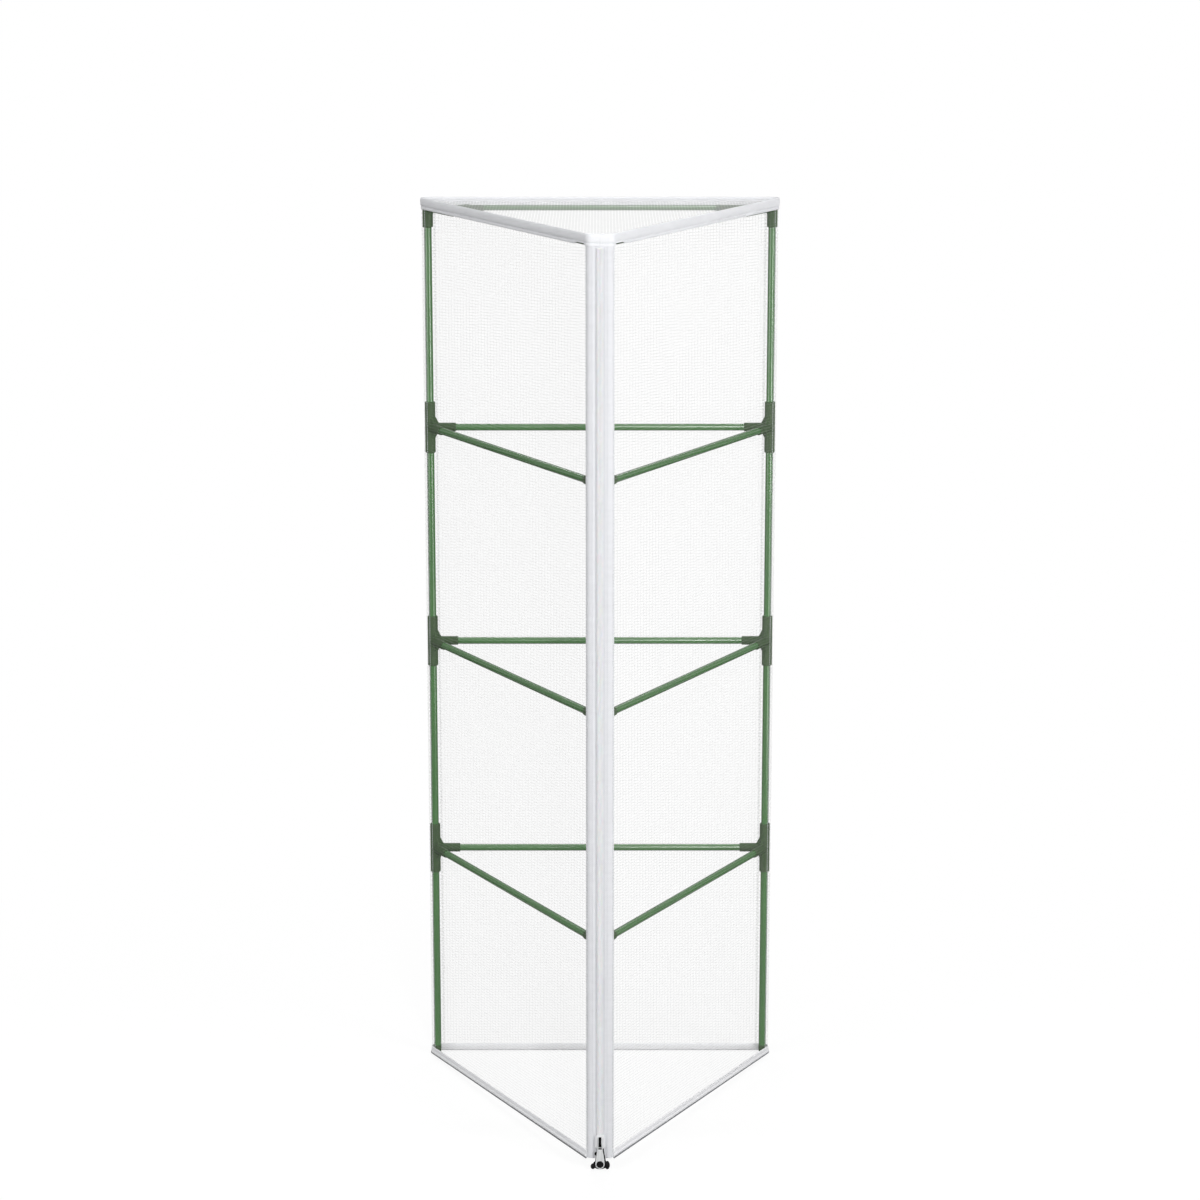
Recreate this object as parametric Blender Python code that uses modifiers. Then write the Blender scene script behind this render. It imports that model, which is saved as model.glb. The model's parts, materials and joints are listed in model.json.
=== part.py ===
"""Three-sided plant cage with a zipped net cover, as separate named pieces.

Metres, +Z up. The corner with the zip faces -Y. The origin is on the ground,
under the middle of the object's box.
"""

import math

import bmesh
import bpy
from mathutils import Matrix, Vector

OBJECT = "garden_trellis"

# Fits
FIT = 0.0003  # gap left between pieces that touch

# Frame: three posts of four stakes, tied by four rings of rods
SIDE = 0.460  # from post to post, axis to axis
FIRST_RING = 0.305  # height of the lowest ring above the ground
RING_STEP = 0.298  # from one ring to the next
RINGS = 4
STAKE_DIAMETER = 0.0100
ROD_DIAMETER = 0.0094
TIP_LENGTH = 0.012
TIP_STRAIGHT = 0.0066  # the part of a tip that is as thick as its stake
TIP_SHOULDER = 0.0024  # height at which the tip starts to turn in sharply
TIP_FLAT = 0.0064  # diameter of the flat end that stands on the ground
TIP_SHOULDER_DIAMETER = 0.0092

# Sleeves and top corners
SLEEVE_WALL = 0.0017
SLEEVE_LENGTH = 0.070
SLEEVE_WEB = 0.004  # wall between the two stakes inside a sleeve
SOCKET_WALL = 0.0010
SOCKET_REACH = 0.035  # from the post's axis to the socket's mouth
SOCKET_FLOOR = 0.0020  # from the sleeve's outside to the end of the rod
GUSSET_LEG = 0.010
GUSSET_THICKNESS = 0.003
TOP_SOCKET_REACH = 0.075
TOP_CORNER_DROP = 0.027  # how far a top corner reaches down its post
TOP_CORNER_ROOF = 0.003  # solid end over the post

# Cover
NET_THICKNESS = 0.0008
NET_STRAND = 0.0035  # width of one strand of the open lattice
WALL_GAPS_ACROSS = 5
WALL_GAPS_UP = 14
ROOF_GAPS = 8  # along the back of the roof
ROOF_RIM = 0.006
ROOF_RIM_THICKNESS = 0.0012
SEAM_WIDTH = 0.010  # flat part of a corner seam strip, each side of the bend
BINDING_THICKNESS = 0.0024
BINDING_ROUNDING = 0.0007
PIPING_RISE = 0.0125  # top edge above the highest rods' axes
PIPING_DROP = 0.0030  # lower edge below them
HEM_HEIGHT = 0.010
HEM_ABOVE_GROUND = 0.001
HEM_FRONT_LIFT = 0.013  # how much higher the hem hangs at the zip

# Zip
TAPE_THICKNESS = 0.0008
ZIP_FLAT = 0.0105  # half width of the flat front that carries the zip
CHAIN_WIDTH = 0.0038  # one half of the chain
CHAIN_THICKNESS = 0.0016
CHAIN_INSET = 0.002  # bare tape under the chain's lower end

# Zip slider
NECK = 0.0010  # wall that joins the slider's two plates
BACK_PLATE = 0.0015
FRONT_PLATE = 0.0014
FLANGE = 0.0016
SLIDER_BELOW_PIVOT = 0.005
SLIDER_ABOVE_PIVOT = 0.014
SLIDER_SHOULDER = 0.0018
SLIDER_TAPER = 0.006
BRIDGE_WIDTH = 0.0032
BRIDGE_LEG = 0.0014
BRIDGE_BAR = 0.0012
BRIDGE_RISE = 0.0105  # from the pivot to the bridge's upper end
PIN_PLAY = 0.0005  # room for the pull's cross bar to turn in

# Pull tab and grip
PIVOT_HEIGHT = 0.034
TAB_THICKNESS = 0.0012
TAB_LENGTH = 0.033  # from the pivot to the round end
TAB_TOP_WIDTH = 0.0065
TAB_END_WIDTH = 0.0125
TAB_END_RISE = math.radians(8)  # how far above its middle the round end starts
TAB_WINDOW = 0.0050  # length of the window that the bridge passes through
WINDOW_PLAY = 0.0004
EYE_DIAMETER = 0.0082
GRIP_PAD_WIDTH = 0.0190
GRIP_PAD_HEIGHT = 0.0104
GRIP_LEFT_SIZE = (0.0058, 0.0072)
GRIP_RIGHT_SIZE = (0.0062, 0.0112)
GRIP_LEFT_DROP = 0.0026  # below the eye's centre
GRIP_RIGHT_DROP = 0.0008
GRIP_PAD_DROP = 0.0009
GRIP_FORWARD = 0.0026  # in front of the tab's middle plane

# Facets
ROUND_SIDES = 12
BEND_STEPS = 6
TAB_END_STEPS = 12
EYE_STEPS = 16
PAD_STEPS = 20
LUMP_STEPS = (10, 6)  # round a lump, and from its front to its back
SHARP_EDGE = math.radians(40)  # edges that bend more than this are shaded sharp
BEVEL_EDGE = math.radians(60)  # and more than this are rounded by a bevel

# Distances under which points are one
SAME_POINT = 1e-7
WELD = 0.00001
SWEPT_WELD = 0.00005

# Worked out from the sizes above
STAKE_RADIUS = STAKE_DIAMETER / 2
ROD_RADIUS = ROD_DIAMETER / 2
STAKE_BORE = STAKE_RADIUS + FIT
SLEEVE_RADIUS = STAKE_BORE + SLEEVE_WALL
ROD_BORE = ROD_RADIUS + FIT
SOCKET_RADIUS = ROD_BORE + SOCKET_WALL
ROD_END = SLEEVE_RADIUS + SOCKET_FLOOR  # from a post's axis to a rod's blind bore
TOP_RING = FIRST_RING + RING_STEP * (RINGS - 1)
TOP_OF_CORNERS = TOP_RING + SLEEVE_RADIUS
PIPING_LOW = TOP_RING - PIPING_DROP
PIPING_HIGH = TOP_RING + PIPING_RISE

HEM_LOW_BACK = HEM_ABOVE_GROUND
HEM_LOW_FRONT = HEM_ABOVE_GROUND + HEM_FRONT_LIFT

CHAIN_SLOT = NECK + 2 * FIT
TAPE_BACK = SLEEVE_RADIUS + FIT + BACK_PLATE + FIT  # in front of the front post's axis
TAPE_FRONT = TAPE_BACK + TAPE_THICKNESS
CHAIN_BACK = TAPE_FRONT + FIT
CHAIN_FRONT = CHAIN_BACK + CHAIN_THICKNESS
PLATE_BACK = CHAIN_FRONT + FIT
PLATE_FRONT = PLATE_BACK + FRONT_PLATE
PIN_SLOT = TAB_THICKNESS + 2 * PIN_PLAY
PIVOT_FRONT = PLATE_FRONT + PIN_SLOT / 2
BRIDGE_FRONT = PLATE_FRONT + PIN_SLOT + BRIDGE_BAR
GRIP_FRONT = PIVOT_FRONT + GRIP_FORWARD
CHAIN_OUTER = CHAIN_SLOT / 2 + CHAIN_WIDTH
SLIDER_HALF = CHAIN_OUTER + FIT + FLANGE
TAB_END_RADIUS = TAB_END_WIDTH / 2
EYE_BELOW_PIVOT = TAB_LENGTH - TAB_END_RADIUS

BELT_RADIUS = SLEEVE_RADIUS + FIT  # inside of the cover round a back post
TRIANGLE = SIDE * math.sqrt(3) / 2
FRONT_REACH = max(BRIDGE_FRONT, GRIP_FRONT)
BACK_REACH = BELT_RADIUS + BINDING_THICKNESS
BACK_Y = (TRIANGLE + FRONT_REACH - BACK_REACH) / 2
FRONT_Y = BACK_Y - TRIANGLE

POSTS = {
    "left": (Vector((-SIDE / 2, BACK_Y)), 0.0),
    "front": (Vector((0.0, FRONT_Y)), math.radians(120)),
    "right": (Vector((SIDE / 2, BACK_Y)), math.radians(240)),
}
SIDES = {"left": ("left", "front"), "right": ("right", "front"), "back": ("left", "right")}
SOCKET_TURNS = (0.0, math.radians(-60))
RING_HEIGHTS = [FIRST_RING + RING_STEP * k for k in range(RINGS)]

FRONT_VIEW = Matrix.Rotation(math.radians(90), 4, "X")  # an outline in X and Z
SIDE_VIEW = Matrix(((0, 0, 1, 0), (1, 0, 0, 0), (0, 1, 0, 0), (0, 0, 0, 1)))  # in Y and Z


def start_clean():
    for old in list(bpy.data.objects):
        bpy.data.objects.remove(old, do_unlink=True)
    made = []
    for name in (OBJECT, "cutters"):
        group = bpy.data.collections.new(name)
        bpy.context.scene.collection.children.link(group)
        made.append(group)
    return made


PIECES, CUTTERS = start_clean()


def material(name, colour, roughness, metallic=0.0):
    made = bpy.data.materials.new(name)
    made.use_nodes = True
    shader = made.node_tree.nodes["Principled BSDF"]
    shader.inputs["Base Color"].default_value = (*colour, 1.0)
    shader.inputs["Roughness"].default_value = roughness
    shader.inputs["Metallic"].default_value = metallic
    made.diffuse_color = (*colour, 1.0)
    return made


COAT = material("green_coat", (0.13, 0.32, 0.13), 0.45)
MOULDED = material("dark_green_moulding", (0.07, 0.19, 0.08), 0.55)
NET = material("white_net", (0.90, 0.90, 0.89), 0.80)
BINDING = material("white_binding", (0.78, 0.79, 0.78), 0.75)
TAPE = material("zip_tape", (0.76, 0.77, 0.80), 0.70)
CHAIN = material("zip_chain", (0.84, 0.85, 0.88), 0.40)
ENAMEL = material("white_enamel", (0.82, 0.83, 0.84), 0.35)
BLACK_METAL = material("black_metal", (0.02, 0.02, 0.02), 0.40, 0.6)
NICKEL = material("nickel", (0.74, 0.75, 0.74), 0.25, 1.0)
RUBBER = material("black_rubber", (0.015, 0.015, 0.015), 0.60)


def piece(name, mesh, finish, place=None, group=PIECES):
    """A named object with its own material, placed by a matrix."""
    mesh.materials.clear()
    mesh.materials.append(finish)
    made = bpy.data.objects.new(name, mesh)
    group.objects.link(made)
    if place is not None:
        made.matrix_world = place
    return made


def smooth(mesh):
    mesh.shade_smooth()
    mesh.set_sharp_from_angle(angle=SHARP_EDGE)
    return mesh


def plain(mesh_maker):
    """Runs one bmesh operator and returns the mesh it makes."""
    bm = bmesh.new()
    mesh_maker(bm)
    mesh = bpy.data.meshes.new("shape")
    bm.to_mesh(mesh)
    bm.free()
    return mesh


def evaluated(holder):
    """The object's mesh with its modifiers applied. The object is removed."""
    graph = bpy.context.evaluated_depsgraph_get()
    graph.update()
    mesh = bpy.data.meshes.new_from_object(holder.evaluated_get(graph))
    bpy.data.objects.remove(holder, do_unlink=True)
    return mesh


def cylinder(radius, length):
    """Upright, from z = 0 to its length."""
    centre = Matrix.Translation((0, 0, length / 2))
    turn = Matrix.Rotation(math.pi / ROUND_SIDES, 4, "Z")

    def cone(bm):
        bmesh.ops.create_cone(
            bm,
            cap_ends=True,
            segments=ROUND_SIDES,
            radius1=radius,
            radius2=radius,
            depth=length,
            matrix=centre @ turn,
        )

    return plain(cone)


def block(size):
    """A box of the given size, its centre on the origin."""
    grow = Matrix.Diagonal((*size, 1.0))
    return plain(lambda bm: bmesh.ops.create_cube(bm, size=1.0, matrix=grow))


def turned(profile):
    """A profile of (radius, height) points, top to bottom, swept round Z."""

    def line(bm):
        points = [bm.verts.new((x, 0, z)) for x, z in profile]
        for one, two in zip(points, points[1:]):
            bm.edges.new((one, two))

    holder = piece("turned", plain(line), COAT, group=CUTTERS)
    screw = holder.modifiers.new("Screw", "SCREW")
    screw.steps = ROUND_SIDES
    screw.render_steps = ROUND_SIDES
    screw.use_merge_vertices = True
    screw.merge_threshold = SWEPT_WELD
    return evaluated(holder)


def slab(loops, thickness):
    """A flat outline, with any holes, as a solid round z = 0."""
    curve = bpy.data.curves.new("outline", "CURVE")
    curve.dimensions = "2D"
    curve.fill_mode = "BOTH"
    curve.extrude = thickness / 2
    for loop in loops:
        line = curve.splines.new("POLY")
        line.points.add(len(loop) - 1)
        for point, (x, y) in zip(line.points, loop):
            point.co = (x, y, 0, 1)
        line.use_cyclic_u = True
    holder = bpy.data.objects.new("outline", curve)
    CUTTERS.objects.link(holder)
    mesh = evaluated(holder)
    bpy.data.curves.remove(curve)
    bm = bmesh.new()
    bm.from_mesh(mesh)
    bmesh.ops.remove_doubles(bm, verts=bm.verts, dist=WELD)
    bmesh.ops.recalc_face_normals(bm, faces=bm.faces)
    bm.to_mesh(mesh)
    bm.free()
    return mesh


def combined(base, steps):
    """Joins, cuts or intersects solids in turn, and returns the mesh."""
    holder = piece("base", base, COAT, group=CUTTERS)
    helpers = []
    for operation, mesh, place in steps:
        helper = piece("cutter", mesh, COAT, place, CUTTERS)
        helper.hide_render = True
        helper.display_type = "WIRE"
        helpers.append(helper)
        change = holder.modifiers.new(operation, "BOOLEAN")
        change.operation = operation
        change.solver = "EXACT"
        change.object = helper
    mesh = evaluated(holder)
    for helper in helpers:
        bpy.data.objects.remove(helper, do_unlink=True)
    return mesh


def bevelled(mesh, width):
    holder = piece("bevelled", mesh, COAT, group=CUTTERS)
    bevel = holder.modifiers.new("Bevel", "BEVEL")
    bevel.width = width
    bevel.segments = 1
    bevel.limit_method = "ANGLE"
    bevel.angle_limit = BEVEL_EDGE
    return evaluated(holder)


def at(x, y, z, turn=0.0):
    return Matrix.Translation((x, y, z)) @ Matrix.Rotation(turn, 4, "Z")


def lying(reach_start, turn):
    """Turns an upright solid so that it points outwards at an angle."""
    lay = Matrix.Rotation(math.radians(90), 4, "Y")
    return Matrix.Rotation(turn, 4, "Z") @ Matrix.Translation((reach_start, 0, 0)) @ lay


def ellipse(width, height, centre, steps):
    points = []
    for k in range(steps):
        angle = 2 * math.pi * k / steps
        points.append(
            (centre[0] + width / 2 * math.cos(angle), centre[1] + height / 2 * math.sin(angle))
        )
    return points


# Frame


def gusset(web_above):
    """A thin web in the plane of a socket, under it and perhaps over it too."""
    tall = SOCKET_RADIUS + GUSSET_LEG
    far = SLEEVE_RADIUS + GUSSET_LEG
    inside = SOCKET_RADIUS / 2
    high = tall if web_above else inside
    outline = [(0, -tall), (SLEEVE_RADIUS, -tall), (far, -inside)]
    outline += [(far, inside), (SLEEVE_RADIUS, high), (0, high)]
    return slab([outline], GUSSET_THICKNESS)


def with_sockets(body, reach, bores, web_above=True):
    """Adds two rod sockets and their webs to a sleeve, then cuts every bore."""
    steps = []
    for turn in SOCKET_TURNS:
        steps.append(("UNION", cylinder(SOCKET_RADIUS, reach), lying(0, turn)))
        upright = Matrix.Rotation(turn, 4, "Z") @ FRONT_VIEW
        steps.append(("UNION", gusset(web_above), upright))
    for turn in SOCKET_TURNS:
        bore = cylinder(ROD_BORE, reach)
        steps.append(("DIFFERENCE", bore, lying(ROD_END, turn)))
    for low, length in bores:
        bore = cylinder(STAKE_BORE, length)
        steps.append(("DIFFERENCE", bore, Matrix.Translation((0, 0, low))))
    return smooth(combined(body, steps))


def sleeve_mesh():
    """Round a joint of two stakes, the ring's height at z = 0."""
    half = SLEEVE_LENGTH / 2
    body = cylinder(SLEEVE_RADIUS, SLEEVE_LENGTH)
    body.transform(Matrix.Translation((0, 0, -half)))
    web = SLEEVE_WEB / 2
    return with_sockets(body, SOCKET_REACH, [(web, half), (-web - half, half)])


def top_corner_mesh():
    height = TOP_CORNER_DROP + SLEEVE_RADIUS
    body = cylinder(SLEEVE_RADIUS, height)
    body.transform(Matrix.Translation((0, 0, -TOP_CORNER_DROP)))
    depth = height - TOP_CORNER_ROOF
    low = -TOP_CORNER_DROP - depth
    return with_sockets(body, TOP_SOCKET_REACH, [(low, 2 * depth)], web_above=False)


def build_posts():
    sleeve = sleeve_mesh()
    top_corner = top_corner_mesh()
    tip = smooth(
        turned(
            [
                (0, TIP_LENGTH),
                (STAKE_RADIUS, TIP_LENGTH),
                (STAKE_RADIUS, TIP_LENGTH - TIP_STRAIGHT),
                (TIP_SHOULDER_DIAMETER / 2, TIP_SHOULDER),
                (TIP_FLAT / 2, 0),
                (0, 0),
            ]
        )
    )
    web = SLEEVE_WEB / 2 + FIT
    for name, (spot, turn) in POSTS.items():
        piece(f"ground_tip_{name}", tip, MOULDED, at(*spot, 0))
        low = TIP_LENGTH + FIT
        for k, ring in enumerate(RING_HEIGHTS):
            last = k == RINGS - 1
            high = TOP_OF_CORNERS - TOP_CORNER_ROOF - FIT if last else ring - web
            stake = smooth(cylinder(STAKE_RADIUS, high - low))
            piece(f"stake_{name}_{k + 1}", stake, COAT, at(*spot, low))
            if last:
                piece(f"top_corner_{name}", top_corner, MOULDED, at(*spot, ring, turn))
            else:
                piece(f"sleeve_{name}_{k + 1}", sleeve, MOULDED, at(*spot, ring, turn))
            low = ring + web


def build_rods():
    length = SIDE - 2 * (ROD_END + FIT)
    rod = smooth(cylinder(ROD_RADIUS, length))
    for name, (one, two) in SIDES.items():
        start, end = POSTS[one][0], POSTS[two][0]
        along = (end - start).normalized()
        spot = start + along * (ROD_END + FIT)
        turn = math.atan2(along.y, along.x)
        for k, ring in enumerate(RING_HEIGHTS):
            piece(f"rod_{name}_{k + 1}", rod, COAT, at(*spot, ring) @ lying(0, turn))


# Cover: its plan is a belt round four pins, the two back posts and two in front

PIN_Y = FRONT_Y - TAPE_BACK + BELT_RADIUS
PINS = [
    Vector((SIDE / 2, BACK_Y)),
    Vector((-SIDE / 2, BACK_Y)),
    Vector((-ZIP_FLAT, PIN_Y)),
    Vector((ZIP_FLAT, PIN_Y)),
]
BACK_RIGHT, BACK_LEFT, FRONT_LEFT, FRONT_RIGHT = range(4)
SIDE_LENGTH = (PINS[FRONT_LEFT] - PINS[BACK_LEFT]).length


def facing(pin):
    """Outward direction, as an angle, of the straight stretch that leads to a pin."""
    along = PINS[pin] - PINS[pin - 1]
    return math.atan2(along.y, along.x) - math.pi / 2


def belt(first, last, before, after, outward):
    """Plan points along the belt from before one pin's bend to past another's."""
    radius = BELT_RADIUS + outward
    points = []
    for pin in range(first, last + 1):
        start = facing(pin)
        sweep = (facing((pin + 1) % 4) - start) % (2 * math.pi)
        for k in range(BEND_STEPS + 1):
            angle = start + sweep * k / BEND_STEPS
            normal = Vector((math.cos(angle), math.sin(angle)))
            along = Vector((-normal.y, normal.x))
            spot = PINS[pin] + normal * radius
            if pin == first and k == 0:
                points.append(spot - along * before)
            points.append(spot)
    points.append(spot + along * after)
    return points


def closed(loop):
    """The loop without points that lie on the next one."""
    return [p for p, q in zip(loop, loop[1:] + loop[:1]) if (p - q).length > SAME_POINT]


def ribbon(first, last, before, after, thickness, low, high):
    """A strip of cloth standing on edge along the belt."""
    inner = belt(first, last, before, after, 0.0)
    outer = belt(first, last, before, after, thickness)
    mesh = slab([closed(inner + outer[::-1])], high - low)
    mesh.transform(Matrix.Translation((0, 0, (low + high) / 2)))
    return mesh


def lattice(across, up, gaps_across, gaps_up):
    """An open sheet of crossing strands in X and Y, from the origin."""
    columns, rows = 2 * gaps_across + 1, 2 * gaps_up + 1

    def edge(index, gaps, length):
        pitch = (length - NET_STRAND) / gaps
        return index // 2 * pitch + index % 2 * NET_STRAND

    def sheet(bm):
        bmesh.ops.create_grid(bm, x_segments=columns, y_segments=rows, size=0.5)
        holes = []
        for face in bm.faces:
            middle = face.calc_center_median()
            column = int((middle.x + 0.5) * columns)
            row = int((middle.y + 0.5) * rows)
            if column % 2 and row % 2:
                holes.append(face)
        bmesh.ops.delete(bm, geom=holes, context="FACES")
        for vert in bm.verts:
            i = round((vert.co.x + 0.5) * columns)
            j = round((vert.co.y + 0.5) * rows)
            vert.co = (edge(i, gaps_across, across), edge(j, gaps_up, up), 0)

    return plain(sheet)


def thick(sheet, thickness):
    holder = piece("sheet", sheet, NET, group=CUTTERS)
    solid = holder.modifiers.new("Solidify", "SOLIDIFY")
    solid.thickness = thickness
    solid.offset = 0
    return evaluated(holder)


def wall_place(pin, skip, outward):
    """Origin at the start of the straight stretch that leads to a pin, X along it."""
    angle = facing(pin)
    normal = Vector((math.cos(angle), math.sin(angle)))
    along = Vector((-normal.y, normal.x))
    spot = PINS[pin - 1] + normal * (BELT_RADIUS + outward) + along * skip
    return at(*spot, 0, angle + math.pi / 2)


def net_wall(pin, skip, length, low_start, low_end):
    """A net panel that hangs from the piping down to the hem."""
    high = PIPING_LOW - FIT
    sheet = lattice(length, 1.0, WALL_GAPS_ACROSS, WALL_GAPS_UP)
    for vert in sheet.vertices:
        low = low_start + (low_end - low_start) * vert.co.x / length
        share = vert.co.y
        vert.co = (vert.co.x, 0, low + (high - low) * share)
    solid = thick(sheet, NET_THICKNESS)
    return solid, wall_place(pin, skip, NET_THICKNESS / 2)


def hem_bar(length, low_start, low_end):
    """A straight hem whose ends hang at two heights."""
    bar = block((length, BINDING_THICKNESS, HEM_HEIGHT))
    for vert in bar.vertices:
        share = vert.co.x / length + 0.5
        low = low_start + (low_end - low_start) * share
        vert.co = (vert.co.x + length / 2, vert.co.y, vert.co.z + low + HEM_HEIGHT / 2)
    return bevelled(bar, BINDING_ROUNDING)


def build_cover():
    panel = SIDE_LENGTH - SEAM_WIDTH - 2 * FIT
    back_panel = SIDE - 2 * (SEAM_WIDTH + FIT)
    top_back = HEM_LOW_BACK + HEM_HEIGHT + FIT
    top_front = HEM_LOW_FRONT + HEM_HEIGHT + FIT
    start_left = SEAM_WIDTH + FIT
    nets = {
        "left": (FRONT_LEFT, start_left, panel, top_back, top_front),
        "right": (BACK_RIGHT, FIT, panel, top_front, top_back),
        "back": (BACK_LEFT, start_left, back_panel, top_back, top_back),
    }
    for name, values in nets.items():
        mesh, place = net_wall(*values)
        piece(f"net_{name}", mesh, NET, place)

    side_run = SIDE_LENGTH - SEAM_WIDTH - FIT
    half_front = ZIP_FLAT - FIT / 2
    for name, first, last, before, after in (
        ("left", FRONT_LEFT, FRONT_LEFT, side_run, half_front),
        ("right", FRONT_RIGHT, FRONT_RIGHT, half_front, side_run),
        ("back", BACK_RIGHT, BACK_LEFT, SEAM_WIDTH, SEAM_WIDTH),
    ):
        mesh = ribbon(first, last, before, after, BINDING_THICKNESS, PIPING_LOW, PIPING_HIGH)
        piece(f"piping_{name}", smooth(bevelled(mesh, BINDING_ROUNDING)), BINDING)

    middle = BINDING_THICKNESS / 2
    left_hem = hem_bar(panel, HEM_LOW_BACK, HEM_LOW_FRONT)
    right_hem = hem_bar(panel, HEM_LOW_FRONT, HEM_LOW_BACK)
    piece("hem_left", left_hem, BINDING, wall_place(FRONT_LEFT, start_left, middle))
    piece("hem_right", right_hem, BINDING, wall_place(BACK_RIGHT, FIT, middle))
    ends = (SEAM_WIDTH, SEAM_WIDTH)
    heights = (HEM_LOW_BACK, HEM_LOW_BACK + HEM_HEIGHT)
    back_hem = ribbon(BACK_RIGHT, BACK_LEFT, *ends, BINDING_THICKNESS, *heights)
    piece("hem_back", smooth(bevelled(back_hem, BINDING_ROUNDING)), BINDING)

    heights = (top_back, PIPING_LOW - FIT)
    for name, pin in (("left", BACK_LEFT), ("right", BACK_RIGHT)):
        seam = ribbon(pin, pin, *ends, NET_THICKNESS, *heights)
        piece(f"corner_seam_{name}", smooth(seam), BINDING)
    build_roof()


def build_roof():
    """Strands over the top rods, cut to the cover's plan and joined to a rim."""
    outer, middle, inner = (
        closed(belt(BACK_RIGHT, FRONT_RIGHT, 0, 0, -FIT - inset))
        for inset in (0, ROOF_RIM / 2, ROOF_RIM)
    )
    rim = slab([outer, inner], ROOF_RIM_THICKNESS)
    prism = slab([middle], 2 * ROOF_RIM_THICKNESS)
    pitch = SIDE / ROOF_GAPS
    gaps = ROOF_GAPS + 1
    across = gaps * pitch + NET_STRAND
    strands = thick(lattice(across, across, gaps, gaps), NET_THICKNESS)
    corner = Matrix.Translation((-across / 2, BACK_Y - across + pitch / 2, 0))
    strands.transform(corner)
    mesh = combined(strands, [("INTERSECT", prism, None), ("UNION", rim, None)])
    height = TOP_OF_CORNERS + FIT + ROOF_RIM_THICKNESS / 2
    piece("net_roof", mesh, NET, Matrix.Translation((0, 0, height)))


# Zip


def build_zip():
    tape_high = PIPING_LOW - FIT
    chain_low = HEM_LOW_FRONT + CHAIN_INSET
    flat = ZIP_FLAT - CHAIN_SLOT / 2
    for name, pin, before, after, side in (
        ("left", FRONT_LEFT, 0, flat, -1),
        ("right", FRONT_RIGHT, flat, 0, 1),
    ):
        tape = ribbon(pin, pin, before, after, TAPE_THICKNESS, HEM_LOW_FRONT, tape_high)
        piece(f"zip_tape_{name}", smooth(tape), TAPE)
        chain = block((CHAIN_WIDTH, CHAIN_THICKNESS, tape_high - chain_low))
        x = side * (CHAIN_SLOT + CHAIN_WIDTH) / 2
        y = FRONT_Y - (CHAIN_BACK + CHAIN_FRONT) / 2
        place = Matrix.Translation((x, y, (tape_high + chain_low) / 2))
        piece(f"zip_chain_{name}", chain, CHAIN, place)


def slider_mesh():
    """Two plates joined by a neck, with flanges that hold the chain in."""
    low, high = -SLIDER_BELOW_PIVOT, SLIDER_ABOVE_PIVOT
    length = high - low
    near = TAPE_BACK - FIT
    lip = TAPE_FRONT + FIT

    def bar(width, x, shallow, deep):
        """A box between two distances in front of the post's axis."""
        mesh = block((width, deep - shallow, length))
        y = PIVOT_FRONT - (shallow + deep) / 2
        return mesh, Matrix.Translation((x, y, (low + high) / 2))

    plate, place = bar(2 * SLIDER_HALF, 0, near - BACK_PLATE, near)
    plate.transform(place)
    steps = [
        ("UNION", *bar(NECK, 0, near - BACK_PLATE / 2, PLATE_BACK + FRONT_PLATE / 2)),
        ("UNION", *bar(2 * SLIDER_HALF, 0, PLATE_BACK, PLATE_FRONT)),
    ]
    for side in (-1, 1):
        x = side * (SLIDER_HALF - FLANGE / 2)
        steps.append(("UNION", *bar(FLANGE, x, lip, PLATE_BACK + FRONT_PLATE / 2)))
    narrow = SLIDER_HALF - SLIDER_SHOULDER
    over = FIT
    shield = [
        (narrow, low - over),
        (SLIDER_HALF + over, low + SLIDER_SHOULDER),
        (SLIDER_HALF + over, high - SLIDER_TAPER),
        (narrow, high + over),
    ]
    shield += [(-x, z) for x, z in shield[::-1]]
    steps.append(("INTERSECT", slab([shield], 2 * PIVOT_FRONT), FRONT_VIEW))
    return combined(plate, steps)


def bridge_mesh():
    """A staple over the slider's front plate, the pull's cross bar at its foot."""
    foot = PIVOT_FRONT - PLATE_FRONT - FIT
    bar_back = -PIN_SLOT / 2
    bar_front = bar_back - BRIDGE_BAR
    slot_low = -PIN_SLOT / 2
    low = slot_low - BRIDGE_LEG
    high = BRIDGE_RISE
    outline = [
        (foot, low),
        (foot, slot_low),
        (bar_back, slot_low),
        (bar_back, high - BRIDGE_LEG),
        (foot, high - BRIDGE_LEG),
        (foot, high),
        (bar_front, high),
        (bar_front, low),
    ]
    mesh = slab([outline], BRIDGE_WIDTH)
    mesh.transform(SIDE_VIEW)
    return mesh


def tab_outline(grow=0.0):
    """The pull tab's edge round the pivot, in X and Z, grown by a margin."""
    top = TAB_THICKNESS / 2 + grow
    half = TAB_TOP_WIDTH / 2 + grow
    radius = TAB_END_RADIUS + grow
    points = [(half, top), (half, -TAB_WINDOW)]
    for k in range(TAB_END_STEPS + 1):
        angle = TAB_END_RISE - (math.pi + 2 * TAB_END_RISE) * k / TAB_END_STEPS
        x = radius * math.cos(angle)
        z = radius * math.sin(angle) - EYE_BELOW_PIVOT
        points.append((x, z))
    return points + [(-half, -TAB_WINDOW), (-half, top)]


def pull_mesh():
    half = BRIDGE_WIDTH / 2 + WINDOW_PLAY
    bar = -TAB_THICKNESS / 2
    window = [(half, bar), (half, -TAB_WINDOW), (-half, -TAB_WINDOW), (-half, bar)]
    eye = ellipse(EYE_DIAMETER, EYE_DIAMETER, (0, -EYE_BELOW_PIVOT), EYE_STEPS)
    mesh = slab([tab_outline(), window, eye], TAB_THICKNESS)
    mesh.transform(FRONT_VIEW)
    return mesh


def lump(size, depth):
    """A rounded lump, its centre on the origin."""
    grow = Matrix.Diagonal((size[0] / 2, depth / 2, size[1] / 2, 1.0))
    around, along = LUMP_STEPS

    def ball(bm):
        bmesh.ops.create_uvsphere(bm, u_segments=around, v_segments=along, radius=1.0, matrix=grow)

    return plain(ball)


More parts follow.
